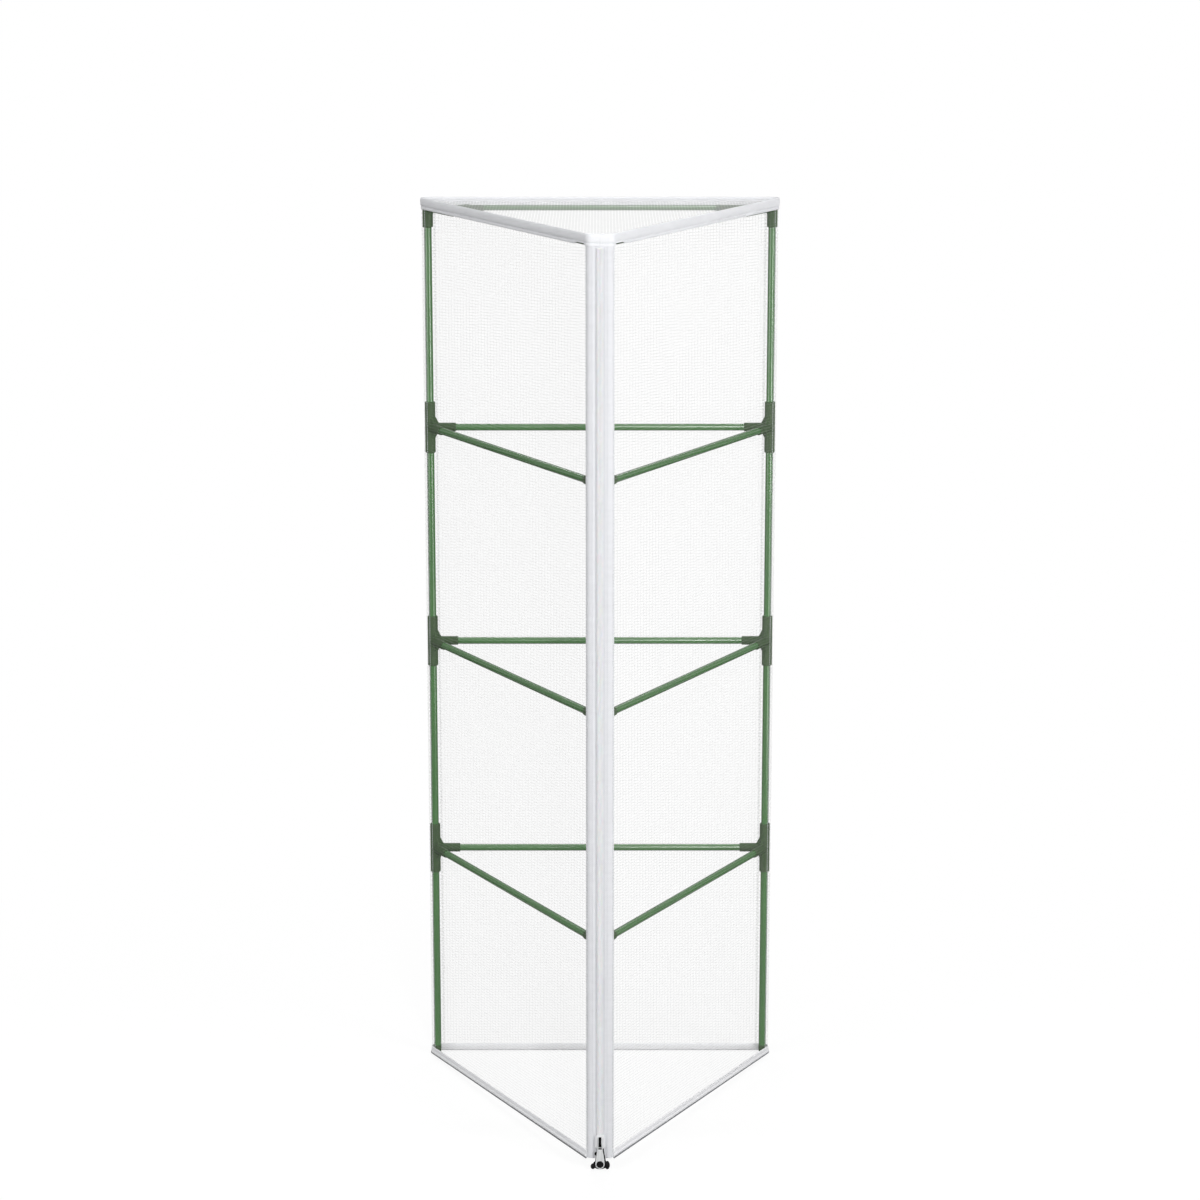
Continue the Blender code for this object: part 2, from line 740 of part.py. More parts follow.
def grip_mesh():
    """A pad behind the tab, a stud through its eye and a lump at each side."""
    back = PIVOT_FRONT - PLATE_BACK
    tab_back = TAB_THICKNESS / 2 + FIT
    pad_depth = back - tab_back
    eye = -EYE_BELOW_PIVOT
    centre = (0, eye - GRIP_PAD_DROP)
    pad = slab([ellipse(GRIP_PAD_WIDTH, GRIP_PAD_HEIGHT, centre, PAD_STEPS)], pad_depth)
    pad.transform(Matrix.Translation((0, tab_back + pad_depth / 2, 0)) @ FRONT_VIEW)
    lump_depth = back + GRIP_FORWARD
    lump_y = (back - GRIP_FORWARD) / 2
    outward = TAB_END_RADIUS
    steps = []
    for size, drop, side in (
        (GRIP_LEFT_SIZE, GRIP_LEFT_DROP, -1),
        (GRIP_RIGHT_SIZE, GRIP_RIGHT_DROP, 1),
    ):
        place = Matrix.Translation((side * (outward + size[0] / 2), lump_y, eye - drop))
        steps.append(("UNION", lump(size, lump_depth), place))
    slot = slab([tab_outline(FIT)], TAB_THICKNESS + 2 * FIT)
    steps.append(("DIFFERENCE", slot, FRONT_VIEW))
    stud_radius = EYE_DIAMETER / 2 - FIT
    stud_length = tab_back + TAB_THICKNESS / 2 + FIT
    stud = cylinder(stud_radius, stud_length)
    place = Matrix.Translation((0, tab_back + FIT, eye)) @ FRONT_VIEW
    steps.append(("UNION", stud, place))
    return smooth(combined(pad, steps))


def build_slider():
    """The slider runs up the chain and the pull swings on the slider."""
    pivot = Vector((0, FRONT_Y - PIVOT_FRONT, PIVOT_HEIGHT))
    carrier = bpy.data.objects.new("slider_axis", None)
    hinge = bpy.data.objects.new("pull_axis", None)
    for empty in (carrier, hinge):
        PIECES.objects.link(empty)
    carrier.location = pivot
    hinge.parent = carrier
    for name, mesh, finish, parent in (
        ("zip_slider", slider_mesh(), ENAMEL, carrier),
        ("zip_bridge", bridge_mesh(), BLACK_METAL, carrier),
        ("zip_pull", pull_mesh(), NICKEL, hinge),
        ("zip_grip", grip_mesh(), RUBBER, hinge),
    ):
        made = piece(name, mesh, finish)
        made.parent = parent


build_posts()
build_rods()
build_cover()
build_zip()
build_slider()
bpy.context.view_layer.update()
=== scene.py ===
# %% [markdown]
# # A three-sided plant cage in a zipped net cover
#
# Three green posts stand at the corners of a triangle. Each is made of four coated stakes that
# meet in moulded sleeves, and four rings of rods tie the posts together. A fine white net cover
# hangs round them, with a bound top edge, a bound hem and a zip down the front corner.
#
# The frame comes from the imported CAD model, so every piece here is placed by what the model says.
# Each cell below makes one kind of piece, and each piece takes the place of the plain solid it
# stands for.

import json
import math

import bmesh
import bpy
from mathutils import Matrix, Vector, noise


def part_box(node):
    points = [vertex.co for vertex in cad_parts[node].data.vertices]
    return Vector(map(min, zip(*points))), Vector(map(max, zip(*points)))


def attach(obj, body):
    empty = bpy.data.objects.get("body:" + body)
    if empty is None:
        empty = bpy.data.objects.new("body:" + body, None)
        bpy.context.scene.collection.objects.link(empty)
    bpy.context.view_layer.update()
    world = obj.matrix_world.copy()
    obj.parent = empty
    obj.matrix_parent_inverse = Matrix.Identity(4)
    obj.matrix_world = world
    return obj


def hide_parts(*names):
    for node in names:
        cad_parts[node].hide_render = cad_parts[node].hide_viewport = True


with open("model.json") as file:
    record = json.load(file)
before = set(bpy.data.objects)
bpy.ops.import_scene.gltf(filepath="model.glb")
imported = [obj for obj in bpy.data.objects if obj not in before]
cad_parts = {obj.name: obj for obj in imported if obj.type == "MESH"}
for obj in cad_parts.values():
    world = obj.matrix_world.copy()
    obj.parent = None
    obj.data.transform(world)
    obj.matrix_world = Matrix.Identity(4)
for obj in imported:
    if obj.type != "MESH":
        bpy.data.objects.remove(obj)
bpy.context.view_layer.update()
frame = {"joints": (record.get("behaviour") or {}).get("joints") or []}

# %% [markdown]
# ## Small tools
#
# Colours are written as sRGB hex, as they are in a paint chart, and shaders want linear light, so
# one function turns the first into the second. Another adds a node, sets or links what it is
# given, and returns the output that the next node takes. It serves materials and Geometry Nodes
# alike.

# %% Colour and nodes
MM = 0.001


def paint(hex_code):
    """An sRGB hex colour as the linear colour that a shader takes."""
    channels = [int(hex_code[k : k + 2], 16) / 255 for k in (1, 3, 5)]
    linear = [c / 12.92 if c <= 0.04045 else ((c + 0.055) / 1.055) ** 2.4 for c in channels]
    return (*linear, 1.0)


def add(tree, kind, values=None, out=0):
    """Adds a node and returns one of its outputs. A value that is an output itself is linked."""
    node = tree.nodes.new(kind)
    for key, value in (values or {}).items():
        if isinstance(value, bpy.types.NodeSocket):
            tree.links.new(value, node.inputs[key])
        elif isinstance(key, str) and key in node.bl_rna.properties:
            setattr(node, key, value)
        else:
            node.inputs[key].default_value = value
    return node.outputs[out] if len(node.outputs) else None


# %% [markdown]
# A finish is one Principled shader whose colour, roughness and bump come from patterns. They lie
# in the object's own space, along a bar or in the cloth's UV map. Most are soft noise between two
# ends, so one function makes that noise, and another makes a whole finish of it.

# %% Finishes
OBJECT_SPACE = ("ShaderNodeTexCoord", None, "Object")
BAR_SPACE = ("ShaderNodeAttribute", {"attribute_name": "bar_space"}, "Vector")
WEAVE = ("ShaderNodeUVMap", {"uv_map": "weave"})


def finish(name, space, **sockets):
    """A new material with constants on the shader's own sockets, and a place for its patterns."""
    made = bpy.data.materials.new(name)
    made.use_nodes = True
    inputs = made.node_tree.nodes["Principled BSDF"].inputs
    for key, value in sockets.items():
        inputs[key.replace("_", " ")].default_value = value
    return made, made.node_tree, inputs, add(made.node_tree, *space)


def mottle(tree, place, size, low, high, stretch=(1, 1, 1)):
    """Noise of a given size in millimetres, spread between two numbers or two colours."""
    scaled = add(tree, "ShaderNodeMapping", {"Scale": stretch, "Vector": place})
    cloud = add(tree, "ShaderNodeTexNoise", {"Scale": 1 / (size * MM), "Vector": scaled})
    if isinstance(low, str):
        ends = {"data_type": "RGBA", 0: cloud, 6: paint(low), 7: paint(high)}
        return add(tree, "ShaderNodeMix", ends, 2)
    return add(tree, "ShaderNodeMapRange", {"To Min": low, "To Max": high, "Value": cloud})


def dress(tree, inputs, relief=None, depth=0.0, strength=1.0, **patterns):
    """Links patterns to the shader, and a relief, its depth in millimetres, as bump."""
    if relief:
        values = {"Strength": strength, "Distance": depth * MM, "Height": relief}
        patterns["Normal"] = add(tree, "ShaderNodeBump", values)
    for key, pattern in patterns.items():
        tree.links.new(pattern, inputs[key.replace("_", " ")])


def speckled(name, colour, rough=None, grain=None, space=OBJECT_SPACE, **sockets):
    """A finish of soft noise.

    Colour and rough are a size and two ends, and grain is a size, a depth and a strength. A stretch
    may follow each. Sizes and depths are in millimetres.
    """
    made, tree, inputs, place = finish(name, space, **sockets)
    dress(tree, inputs, Base_Color=mottle(tree, place, *colour))
    if rough:
        dress(tree, inputs, Roughness=mottle(tree, place, *rough))
    if grain:
        size, depth, strength, *stretch = grain
        dress(tree, inputs, mottle(tree, place, size, 0.0, 1.0, *stretch), depth, strength)
    return made


# %% [markdown]
# ## The camera
#
# The photograph was taken from a little over the top of the cage with a long lens, so the
# uprights hardly lean. Its distance, height, tilt and lens were worked out from where the three
# posts and the four rings fall in the picture, and the picture's frame is square.

# %% Camera
CAMERA_PLACE = (0.0, -4.063, 1.667)
CAMERA_TILT = math.radians(90 - 13.28)
LENS = 95.8

camera_data = bpy.data.cameras.new("camera")
camera_data.lens = LENS
camera = bpy.data.objects.new("camera", camera_data)
camera.location = CAMERA_PLACE
camera.rotation_euler = (CAMERA_TILT, 0, 0)
bpy.context.scene.collection.objects.link(camera)
bpy.context.scene.camera = camera
bpy.context.scene.view_settings.view_transform = "Standard"
print("camera", LENS, "mm lens at", CAMERA_PLACE)

# %% [markdown]
# ## Light and floor
#
# The cage is lit like a catalogue picture. Soft lamps from the left, the front, above and behind
# give the white cloth its even greys, and a key lamp from the right makes that side a little
# brighter. A round post mirrors only a lamp that lies as far below as the camera is above, so a
# low lamp and a card near the floor draw the bright line down each post.
#
# The floor and the surround look white to the camera through Light Path, while the real light of
# the surround is low. So white cloth keeps its greys, and a glossy coat has no white to mirror.
# The floor still shades under the cage, because part of its brightness near the cage is lit.

# %% Surround and lamps
SURROUND = 0.22
# place, point that it faces, width and height, power
LAMPS = {
    "key_right": ((3.0, -2.6, 2.2), (0, 0, 0.6), (1.1, 1.9), 52),
    "low_right": ((2.6, -3.2, 0.5), (0, 0, 0.5), (0.8, 0.9), 36),
    "floor_card": ((1.92, -1.41, 0.25), (1.8, -1.31, 1.25), (1.0, 2.4), 24),
    "fill_left": ((-3.0, -2.2, 1.0), (0, 0, 0.6), (2.6, 2.4), 63),
    "front": ((0.4, -3.9, 2.2), (0, 0, 0.5), (0.7, 1.0), 56),
    "top": ((-0.3, -0.6, 3.6), (0, 0, 0.6), (1.6, 1.2), 16),
    "behind": ((0, 2.8, 3.2), (0, 0, 0.6), (3.0, 0.4), 56),
}


def bare_tree(owner):
    owner.use_nodes = True
    owner.node_tree.nodes.clear()
    return owner.node_tree


def seen_directly(tree):
    """1 for rays that the camera sends, also on through clear things, and 0 for the rest."""
    kinds = ("Is Camera Ray", "Is Transmission Ray")
    straight, through = (add(tree, "ShaderNodeLightPath", None, kind) for kind in kinds)
    return add(tree, "ShaderNodeMath", {"operation": "MAXIMUM", 0: straight, 1: through})


world = bpy.data.worlds.new("surround")
bpy.context.scene.world = world
tree = bare_tree(world)
strength = add(
    tree, "ShaderNodeMapRange", {"To Min": SURROUND, "To Max": 1.0, "Value": seen_directly(tree)}
)
surround = add(tree, "ShaderNodeBackground", {"Color": (1, 1, 1, 1), "Strength": strength})
add(tree, "ShaderNodeOutputWorld", {"Surface": surround})

for name, (place, target, size, power) in LAMPS.items():
    data = bpy.data.lights.new(name, "AREA")
    data.shape = "RECTANGLE"
    data.size, data.size_y = size
    data.energy = power
    made = bpy.data.objects.new(name, data)
    made.location = place
    aim = Vector(target) - Vector(place)
    made.rotation_euler = aim.to_track_quat("-Z", "Y").to_euler()
    bpy.context.scene.collection.objects.link(made)
print(len(LAMPS), "lamps")

# %% Floor
FLOOR_HALF = 30.0
FLOOR_GREY = 0.2
FLOOR_LIT = 0.17  # share of its brightness that lamps give, near the cage
SHADOW_REACH = (0.55, 1.3)  # from here to there it turns into plain white

corners = [(x * FLOOR_HALF, y * FLOOR_HALF, 0) for x, y in ((-1, -1), (1, -1), (1, 1), (-1, 1))]
floor_mesh = bpy.data.meshes.new("floor")
floor_mesh.from_pydata(corners, [], [(0, 1, 2, 3)])
floor_paint = bpy.data.materials.new("painted_board")
tree = bare_tree(floor_paint)
spot = add(tree, *OBJECT_SPACE)
reach = add(tree, "ShaderNodeVectorMath", {"operation": "LENGTH", 0: spot}, "Value")
seen = seen_directly(tree)
lit = add(tree, "ShaderNodeBsdfDiffuse", {"Color": (FLOOR_GREY, FLOOR_GREY, FLOOR_GREY, 1)})
glow = add(tree, "ShaderNodeMath", {"operation": "MULTIPLY", 0: seen, 1: 1 - FLOOR_LIT})
pale = add(tree, "ShaderNodeEmission", {"Strength": glow})
near_floor = add(tree, "ShaderNodeAddShader", {0: lit, 1: pale})
white = add(tree, "ShaderNodeEmission", {"Strength": seen})
fade = {"interpolation_type": "SMOOTHSTEP", "Value": reach}
fade.update({"From Min": SHADOW_REACH[0], "From Max": SHADOW_REACH[1]})
far = add(tree, "ShaderNodeMapRange", fade)
mixed = add(tree, "ShaderNodeMixShader", {0: far, 1: near_floor, 2: white})
add(tree, "ShaderNodeOutputMaterial", {"Surface": mixed})
floor_mesh.materials.append(floor_paint)
floor = bpy.data.objects.new("floor", floor_mesh)
bpy.context.scene.collection.objects.link(floor)
print("floor", 2 * FLOOR_HALF, "m wide, its shadow fades out between", SHADOW_REACH, "m")

# %% [markdown]
# ## Where things are
#
# Places are measured from the frame. The posts' axes come from the boxes of their stakes. The
# cover is a belt that runs round four pins, seen from above: the two back posts and two points
# that make the narrow flat front for the zip. A distance along that belt, starting at the zip and
# going left, and a distance outwards from it then place every seam, tape and stitch.

# %% Measures from the frame
POSTS = {"left": 0, "front": 120, "right": 240}  # and how far its fittings are turned, degrees
SIDES = ("left", "right", "back")
STAKE_RADIUS, ROD_RADIUS = 5.0 * MM, 4.7 * MM
ZIP_FLAT = 10.5 * MM  # half of the flat front
TAPE_THICKNESS = 0.8 * MM


def middle(node):
    low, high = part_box(node)
    return (low + high) / 2


axis = {post: middle(f"stake_{post}_1").xy for post in POSTS}
COVER_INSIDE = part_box("net_back")[0].y - axis["left"].y
tape_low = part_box("zip_tape_left")[0]
TAPE_BACK = axis["front"].y - tape_low.y - TAPE_THICKNESS
PIPING_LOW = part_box("piping_back")[0].z
HEM_FRONT = tape_low.z
HEM_BACK, HEM_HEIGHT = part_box("hem_back")[0].z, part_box("hem_back")[1].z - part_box("hem_back")[0].z
print("posts", axis, "stake", STAKE_RADIUS, "rod", ROD_RADIUS, "cover", COVER_INSIDE)

# %% The belt that the cover follows
pin_y = axis["front"].y - TAPE_BACK + COVER_INSIDE
front_middle = Vector((0.0, pin_y))
PINS = [
    Vector((-ZIP_FLAT, pin_y)),
    axis["left"].copy(),
    axis["right"].copy(),
    Vector((ZIP_FLAT, pin_y)),
]


def belt_runs():
    """The belt's straights and bends: start distance, length, point, normal's angle, turn."""
    runs = []
    travelled, angle, spot = 0.0, -math.pi / 2, front_middle
    for pin, following in zip(PINS, [*PINS[1:], front_middle]):
        runs.append((travelled, (pin - spot).length, spot, angle, 0.0))
        travelled += runs[-1][1]
        leaving = following - pin
        next_angle = math.atan2(leaving.y, leaving.x) + math.pi / 2
        turn = (angle - next_angle) % (2 * math.pi)
        runs.append((travelled, turn * COVER_INSIDE, pin, angle, -turn))
        travelled += runs[-1][1]
        angle, spot = next_angle, pin
    runs.append((travelled, ZIP_FLAT, spot, angle, 0.0))
    return runs


RUNS = belt_runs()
BELT = RUNS[-1][0] + RUNS[-1][1]
BENDS = RUNS[1::2]
TAPE_END = BENDS[0][0] + BENDS[0][1]  # the zip's tape ends where the front bend does
print("belt", round(BELT, 4), "bends at", [round(run[0], 4) for run in BENDS])


def on_belt(distance, outward):
    """A point in plan at a distance along the belt and outwards from its inside."""
    start, length, spot, angle, turn = next(
        run for run in reversed(RUNS) if distance >= run[0] or run is RUNS[0]
    )
    past = distance - start
    angle += turn * past / length if turn else 0.0
    normal = Vector((math.cos(angle), math.sin(angle)))
    along = Vector((normal.y, -normal.x)) * (0.0 if turn else past)
    return spot + along + normal * (COVER_INSIDE + outward)


def stations(first, last, step, bend_step=1.0 * MM):
    """Distances from first to last, closer together in the bends."""
    found = []
    for start, length, _, _, turn in RUNS:
        low, high = max(first, start), min(last, start + length)
        if high - low > 1e-6:
            count = math.ceil((high - low) / (bend_step if turn else step))
            found += [low + (high - low) * k / count for k in range(count)]
    return [*found, last]


def hem_low(distance):
    """Height of the hem's lower edge: it lifts towards the zip."""
    distance = min(distance, BELT - distance)
    back_start = BENDS[1][0]
    share = min(max((back_start - distance) / (back_start - TAPE_END), 0.0), 1.0)
    return HEM_BACK + (HEM_FRONT - HEM_BACK) * share


# %% [markdown]
# ## Making pieces
#
# Cloth, bindings and tapes are all one thing to build: a section that is carried along the belt.
# The weave must follow the cloth, so each mesh gets its own UV map in metres. The other helpers
# turn a profile round an axis, melt several solids into one moulded skin, and make a finished
# object with its finish, hang it on its body and hide the solid it stands for.

# %% Plain meshes
def meshed(bm):
    mesh = bpy.data.meshes.new("made")
    bm.to_mesh(mesh)
    bm.free()
    return mesh


def shaded(mesh, sharp=40):
    """Smooth shading, with the edges sharp that turn by more than an angle in degrees."""
    mesh.shade_smooth()
    mesh.set_sharp_from_angle(angle=math.radians(sharp))
    return mesh


def settled(holder):
    """The plain mesh that an object's curve or modifiers give. The object goes."""
    bpy.context.scene.collection.objects.link(holder)
    graph = bpy.context.evaluated_depsgraph_get()
    mesh = bpy.data.meshes.new_from_object(holder.evaluated_get(graph))
    bpy.data.objects.remove(holder)
    return mesh


# %% A section carried along the belt
def swept(distances, section, closed):
    """Carries a section of (outward, height) points along the belt."""
    bm = bmesh.new()
    weave = bm.loops.layers.uv.new("weave")
    rows = []
    for distance in distances:
        row, run, before = [], 0.0, None
        for outward, height in section(distance):
            here = Vector((outward, height))
            run += (here - before).length if before else 0.0
            before = here
            row.append((bm.verts.new((*on_belt(distance, outward), height)), run))
        if closed:
            row.append((row[0][0], run + 1 * MM))
        rows.append(row)
    for first, second, one, two in zip(rows, rows[1:], distances, distances[1:]):
        for j in range(len(first) - 1):
            corners = ((first, j, one), (second, j, two), (second, j + 1, two), (first, j + 1, one))
            face = bm.faces.new([row[k][0] for row, k, _ in corners])
            for loop, (row, k, distance) in zip(face.loops, corners):
                loop[weave].uv = (distance, row[k][1])
    if closed:
        bm.faces.new([vert for vert, _ in rows[0][:-1]])
        bm.faces.new([vert for vert, _ in reversed(rows[-1][:-1])])
        bmesh.ops.recalc_face_normals(bm, faces=bm.faces)
    return shaded(meshed(bm))


# %% Turned and flat solids, and melting them
def turned(bm, profile, sides, place):
    """Adds a turned solid to bm: a profile of (radius, height) that starts and ends on its axis."""
    angles = [2 * math.pi * k / sides for k in range(sides)]
    rings = []
    for radius, height in profile:
        spots = [(radius * math.cos(a), radius * math.sin(a), height) for a in angles]
        spots = spots if radius else spots[:1]
        rings.append([bm.verts.new(place @ Vector(spot)) for spot in spots])
    for one, two in zip(rings, rings[1:]):
        for k in range(sides):
            n = (k + 1) % sides
            corners = (one[k % len(one)], one[n % len(one)], two[n % len(two)], two[k % len(two)])
            bm.faces.new(list(dict.fromkeys(corners)))


def flat_plate(bm, outline, thickness, place):
    """Adds a flat plate to bm: an outline in X and Z, its thickness along Y."""
    half = thickness / 2
    front = [bm.verts.new(place @ Vector((x, -half, z))) for x, z in outline]
    back = [bm.verts.new(place @ Vector((x, half, z))) for x, z in outline]
    bm.faces.new(front)
    bm.faces.new(back[::-1])
    for k in range(len(outline)):
        n = (k + 1) % len(outline)
        bm.faces.new((front[n], front[k], back[k], back[n]))


def melted(bm, voxel, rounds=2):
    """Melts the overlapping solids in bm into one skin with soft corners, as a mould gives."""
    bmesh.ops.recalc_face_normals(bm, faces=bm.faces)
    holder = bpy.data.objects.new("holder", meshed(bm))
    skin = holder.modifiers.new("skin", "REMESH")
    skin.mode, skin.voxel_size = "VOXEL", voxel
    holder.modifiers.new("soft", "SMOOTH").iterations = rounds
    mesh = settled(holder)
    mesh.shade_smooth()
    return mesh


# %% Handing a piece over
def hand_over(name, mesh, material, slot, *nodes, body="cage"):
    """Makes the finished object, dresses it, hangs it on its body and hides the solids it stands for.
    """
    mesh.materials.clear()
    mesh.materials.append(material)
    made = bpy.data.objects.new(name, mesh)
    bpy.context.scene.collection.objects.link(made)
    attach(made, body)
    if nodes:
        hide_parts(*nodes)
    return made


# %% [markdown]
# Geometry Nodes make what repeats or follows a line. A recipe is a node tree with named inputs.
# It runs on a holder object, and the plain mesh that it grows is kept while the holder goes.

# %% Running a recipe
def recipe(name, **inputs):
    """An empty Geometry Nodes tree with named inputs, and the sockets that carry them."""
    tree = bpy.data.node_groups.new(name, "GeometryNodeTree")
    for label, kind in {"Geometry": "Geometry", **inputs}.items():
        tree.interface.new_socket(label, in_out="INPUT", socket_type="NodeSocket" + kind)
    tree.interface.new_socket("Geometry", in_out="OUTPUT", socket_type="NodeSocketGeometry")
    return tree, tree.nodes.new("NodeGroupInput").outputs


def tube_along(tree, line, sides, radius):
    """Carries a circle along a curve and closes its ends."""
    ring = add(tree, "GeometryNodeCurvePrimitiveCircle", {"Resolution": sides, "Radius": radius})
    values = {"Fill Caps": True, "Curve": line, "Profile Curve": ring}
    return add(tree, "GeometryNodeCurveToMesh", values)


def served(tree, geometry, material):
    """Ends a recipe: instances become real faces and the material is set."""
    real = add(tree, "GeometryNodeRealizeInstances", {0: geometry})
    smooth = add(tree, "GeometryNodeSetShadeSmooth", {0: real})
    dressed = add(tree, "GeometryNodeSetMaterial", {0: smooth, "Material": material})
    add(tree, "NodeGroupOutput", {0: dressed})


def grown(tree, start=None, **values):
    """Runs a recipe on a holder with the given values and returns the plain mesh."""
    holder = bpy.data.objects.new("holder", start or bpy.data.meshes.new("seed"))
    modifier = holder.modifiers.new(tree.name, "NODES")
    modifier.node_group = tree
    for item in tree.interface.items_tree:
        if item.in_out == "INPUT" and item.name in values:
            modifier[item.identifier] = values[item.name]
    return settled(holder)


# %% [markdown]
# ## Finish: plastic-coated steel tube
#
# The stakes and rods are thin steel tubes drawn through molten polyethylene. The die leaves faint
# lines along the tube, and the skin of the coat is smooth and glossy, so it has a clear layer on
# top, and a long bright line runs down it. The lines follow the tube, so they read a coordinate
# that each bar carries along with it.

# %% Green coat
coat = speckled(
    "polyethylene_coat_on_steel_tube",
    colour=(9, "#376b30", "#487e3d", (1, 1, 0.15)),
    rough=(3, 0.2, 0.3),
    grain=(0.9, 0.05, 0.5, (1, 1, 0.02)),
    space=BAR_SPACE,
    IOR=1.5,
    Coat_Weight=1.0,
    Coat_Roughness=0.16,
)

# %% [markdown]
# ## Finish: moulded polypropylene
#
# The sleeves, top corners and ground tips are injection moulded. Their tool is spark eroded,
# which leaves a fine matt grain, so they look flatter than the coat. Their green is darker too,
# partly their own colour and partly painted shade, for the shade that the binding casts on the
# top corners. The real grain is about 0.1 mm, too fine to show, so it is drawn at 0.7 mm.

# %% Green moulding
moulding = speckled(
    "moulded_polypropylene",
    # a darker green than the coat: partly the moulding's own colour, partly painted shade
    colour=(6, "#2a4420", "#3a5829"),
    rough=(2, 0.5, 0.66),
    grain=(0.7, 0.12, 0.6),
    IOR=1.49,
    Specular_IOR_Level=0.3,
)

# %% [markdown]
# ## Stakes and rods
#
# Each stake and rod is a straight round bar, so one recipe makes them all: a circle carried along
# a line. Before the bar is moved to its place, its own coordinates are stored on it for the coat.

# %% The bar recipe
BAR_SIDES = 32

bar, given = recipe(
    "coated bar", Length="Float", Radius="Float", Turn="Vector", Place="Vector", Coat="Material"
)
far_end = add(bar, "ShaderNodeCombineXYZ", {"Z": given["Length"]})
line = add(bar, "GeometryNodeCurvePrimitiveLine", {"End": far_end})
marks = {"data_type": "FLOAT_VECTOR", "domain": "POINT", "Name": "bar_space"}
marks["Geometry"] = tube_along(bar, line, BAR_SIDES, given["Radius"])
marks["Value"] = add(bar, "GeometryNodeInputPosition")
marked = add(bar, "GeometryNodeStoreNamedAttribute", marks)
placed = add(
    bar,
    "GeometryNodeTransform",
    {"Geometry": marked, "Rotation": given["Turn"], "Translation": given["Place"]},
)
served(bar, placed, given["Coat"])


# %% Stakes and rods
def make_bar(node, ends, heights, radius):
    start, end = (Vector((*spot, height)) for spot, height in zip(ends, heights))
    along = end - start
    turn = along.to_track_quat("Z", "Y").to_euler()
    mesh = grown(bar, Length=along.length, Radius=radius, Turn=turn, Place=start, Coat=coat)
    hand_over("coated_" + node, shaded(mesh), coat, "green_coat", node)


for post in POSTS:
    for k in range(1, 5):
        node = f"stake_{post}_{k}"
        make_bar(node, [axis[post]] * 2, [corner.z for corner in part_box(node)], STAKE_RADIUS)

ROD_ENDS = {"left": ("left", "front"), "right": ("right", "front"), "back": ("left", "right")}
rod_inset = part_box("rod_back_1")[0].x - axis["left"].x
for side, (one, two) in ROD_ENDS.items():
    inset = (axis[two] - axis[one]).normalized() * rod_inset
    for k in range(1, 5):
        node = f"rod_{side}_{k}"
        make_bar(node, (axis[one] + inset, axis[two] - inset), [middle(node).z] * 2, ROD_RADIUS)
print("bars made, rods start", round(rod_inset / MM, 2), "mm from the posts' axes")

# %% [markdown]
# ## Sleeves and top corners
#
# A sleeve joins two stakes and carries two rods, at 60 degrees to each other. It is one moulding:
# a thick tube, two smaller sockets and a web under and over each socket. A top corner has smaller
# webs, and only under its sockets. Plastic flows into the mould, so their corners are soft: the
# solids are set into each other with open mouths, and melted into one skin. One sleeve is made
# and then copied to its nine places.

# %% The sleeve's skin
SLEEVE_RADIUS, SOCKET_RADIUS = 7.0 * MM, 6.0 * MM
SLEEVE_SIDES, SOCKET_SIDES = 48, 40
MOUTH = 4.0 * MM  # depth that shows inside a mouth
MOUTH_GAP = 0.3 * MM
CHAMFER = 0.7 * MM
SLEEVE_WEB, CORNER_WEB = (8.5 * MM, 6.0 * MM), (4.0 * MM, 2.5 * MM)  # height and reach
WEB_THICKNESS = 3 * MM
MOULD_VOXEL = 0.55 * MM


def open_tube(radius, bore, low, high, mouths):
    """A turned tube from low to high whose named ends are open for a little way."""
    up, down = [(0, high)], [(0, low)]
    if "high" in mouths:
        up = [(0, high - MOUTH), (bore, high - MOUTH), (bore, high)]
    if "low" in mouths:
        down = [(bore, low), (bore, low + MOUTH), (0, low + MOUTH)]
    outside = [(radius - CHAMFER, high), (radius, high - CHAMFER)]
    outside += [(radius, low + CHAMFER), (radius - CHAMFER, low)]
    return up + outside + down


def socket_and_webs(bm, turn, reach, over, web):
    """One rod socket that points outwards, with its webs."""
    spin = Matrix.Rotation(turn, 4, "Z")
    lay = spin @ Matrix.Rotation(math.radians(90), 4, "Y")
    tube = open_tube(SOCKET_RADIUS, ROD_RADIUS + MOUTH_GAP, 0.0, reach, ("high",))
    turned(bm, tube, SOCKET_SIDES, lay)
    tall, far = SOCKET_RADIUS + web[0], SLEEVE_RADIUS + web[1]
    inside = SOCKET_RADIUS / 2
    top = tall if over else inside
    edge = [(0, -tall), (SLEEVE_RADIUS, -tall), (far, -inside), (far, inside)]
    flat_plate(bm, [*edge, (SLEEVE_RADIUS, top), (0, top)], WEB_THICKNESS, spin)


def fitting(low, high, mouths, reach, over, web):
    """A sleeve or top corner, its rods' height at z = 0."""
    bm = bmesh.new()
    tube = open_tube(SLEEVE_RADIUS, STAKE_RADIUS + MOUTH_GAP, low, high, mouths)
    turned(bm, tube, SLEEVE_SIDES, Matrix())
    for turn in (0.0, math.radians(-60)):
        socket_and_webs(bm, turn, reach, over, web)
    return melted(bm, MOULD_VOXEL)


sleeve_low, sleeve_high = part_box("sleeve_left_1")
half = (sleeve_high.z - sleeve_low.z) / 2
reach = sleeve_high.x - axis["left"].x
sleeve_skin = fitting(-half, half, ("low", "high"), reach, True, SLEEVE_WEB)
corner_low, corner_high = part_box("top_corner_left")
top_ring = middle("rod_back_4").z
low, high = corner_low.z - top_ring, corner_high.z - top_ring
corner_skin = fitting(low, high, ("low",), corner_high.x - axis["left"].x, False, CORNER_WEB)
print("sleeve", len(sleeve_skin.polygons), "faces, top corner", len(corner_skin.polygons))

# %% Sleeves, top corners and ground tips in place
TIP_PROFILE = [
    (0, 12), (4.7, 12), (5, 11.7), (5, 5.6), (4.85, 4.2), (4.6, 2.4), (3.6, 0.5), (3.2, 0), (0, 0),
]  # radius and height in millimetres
TIP_SIDES = 32


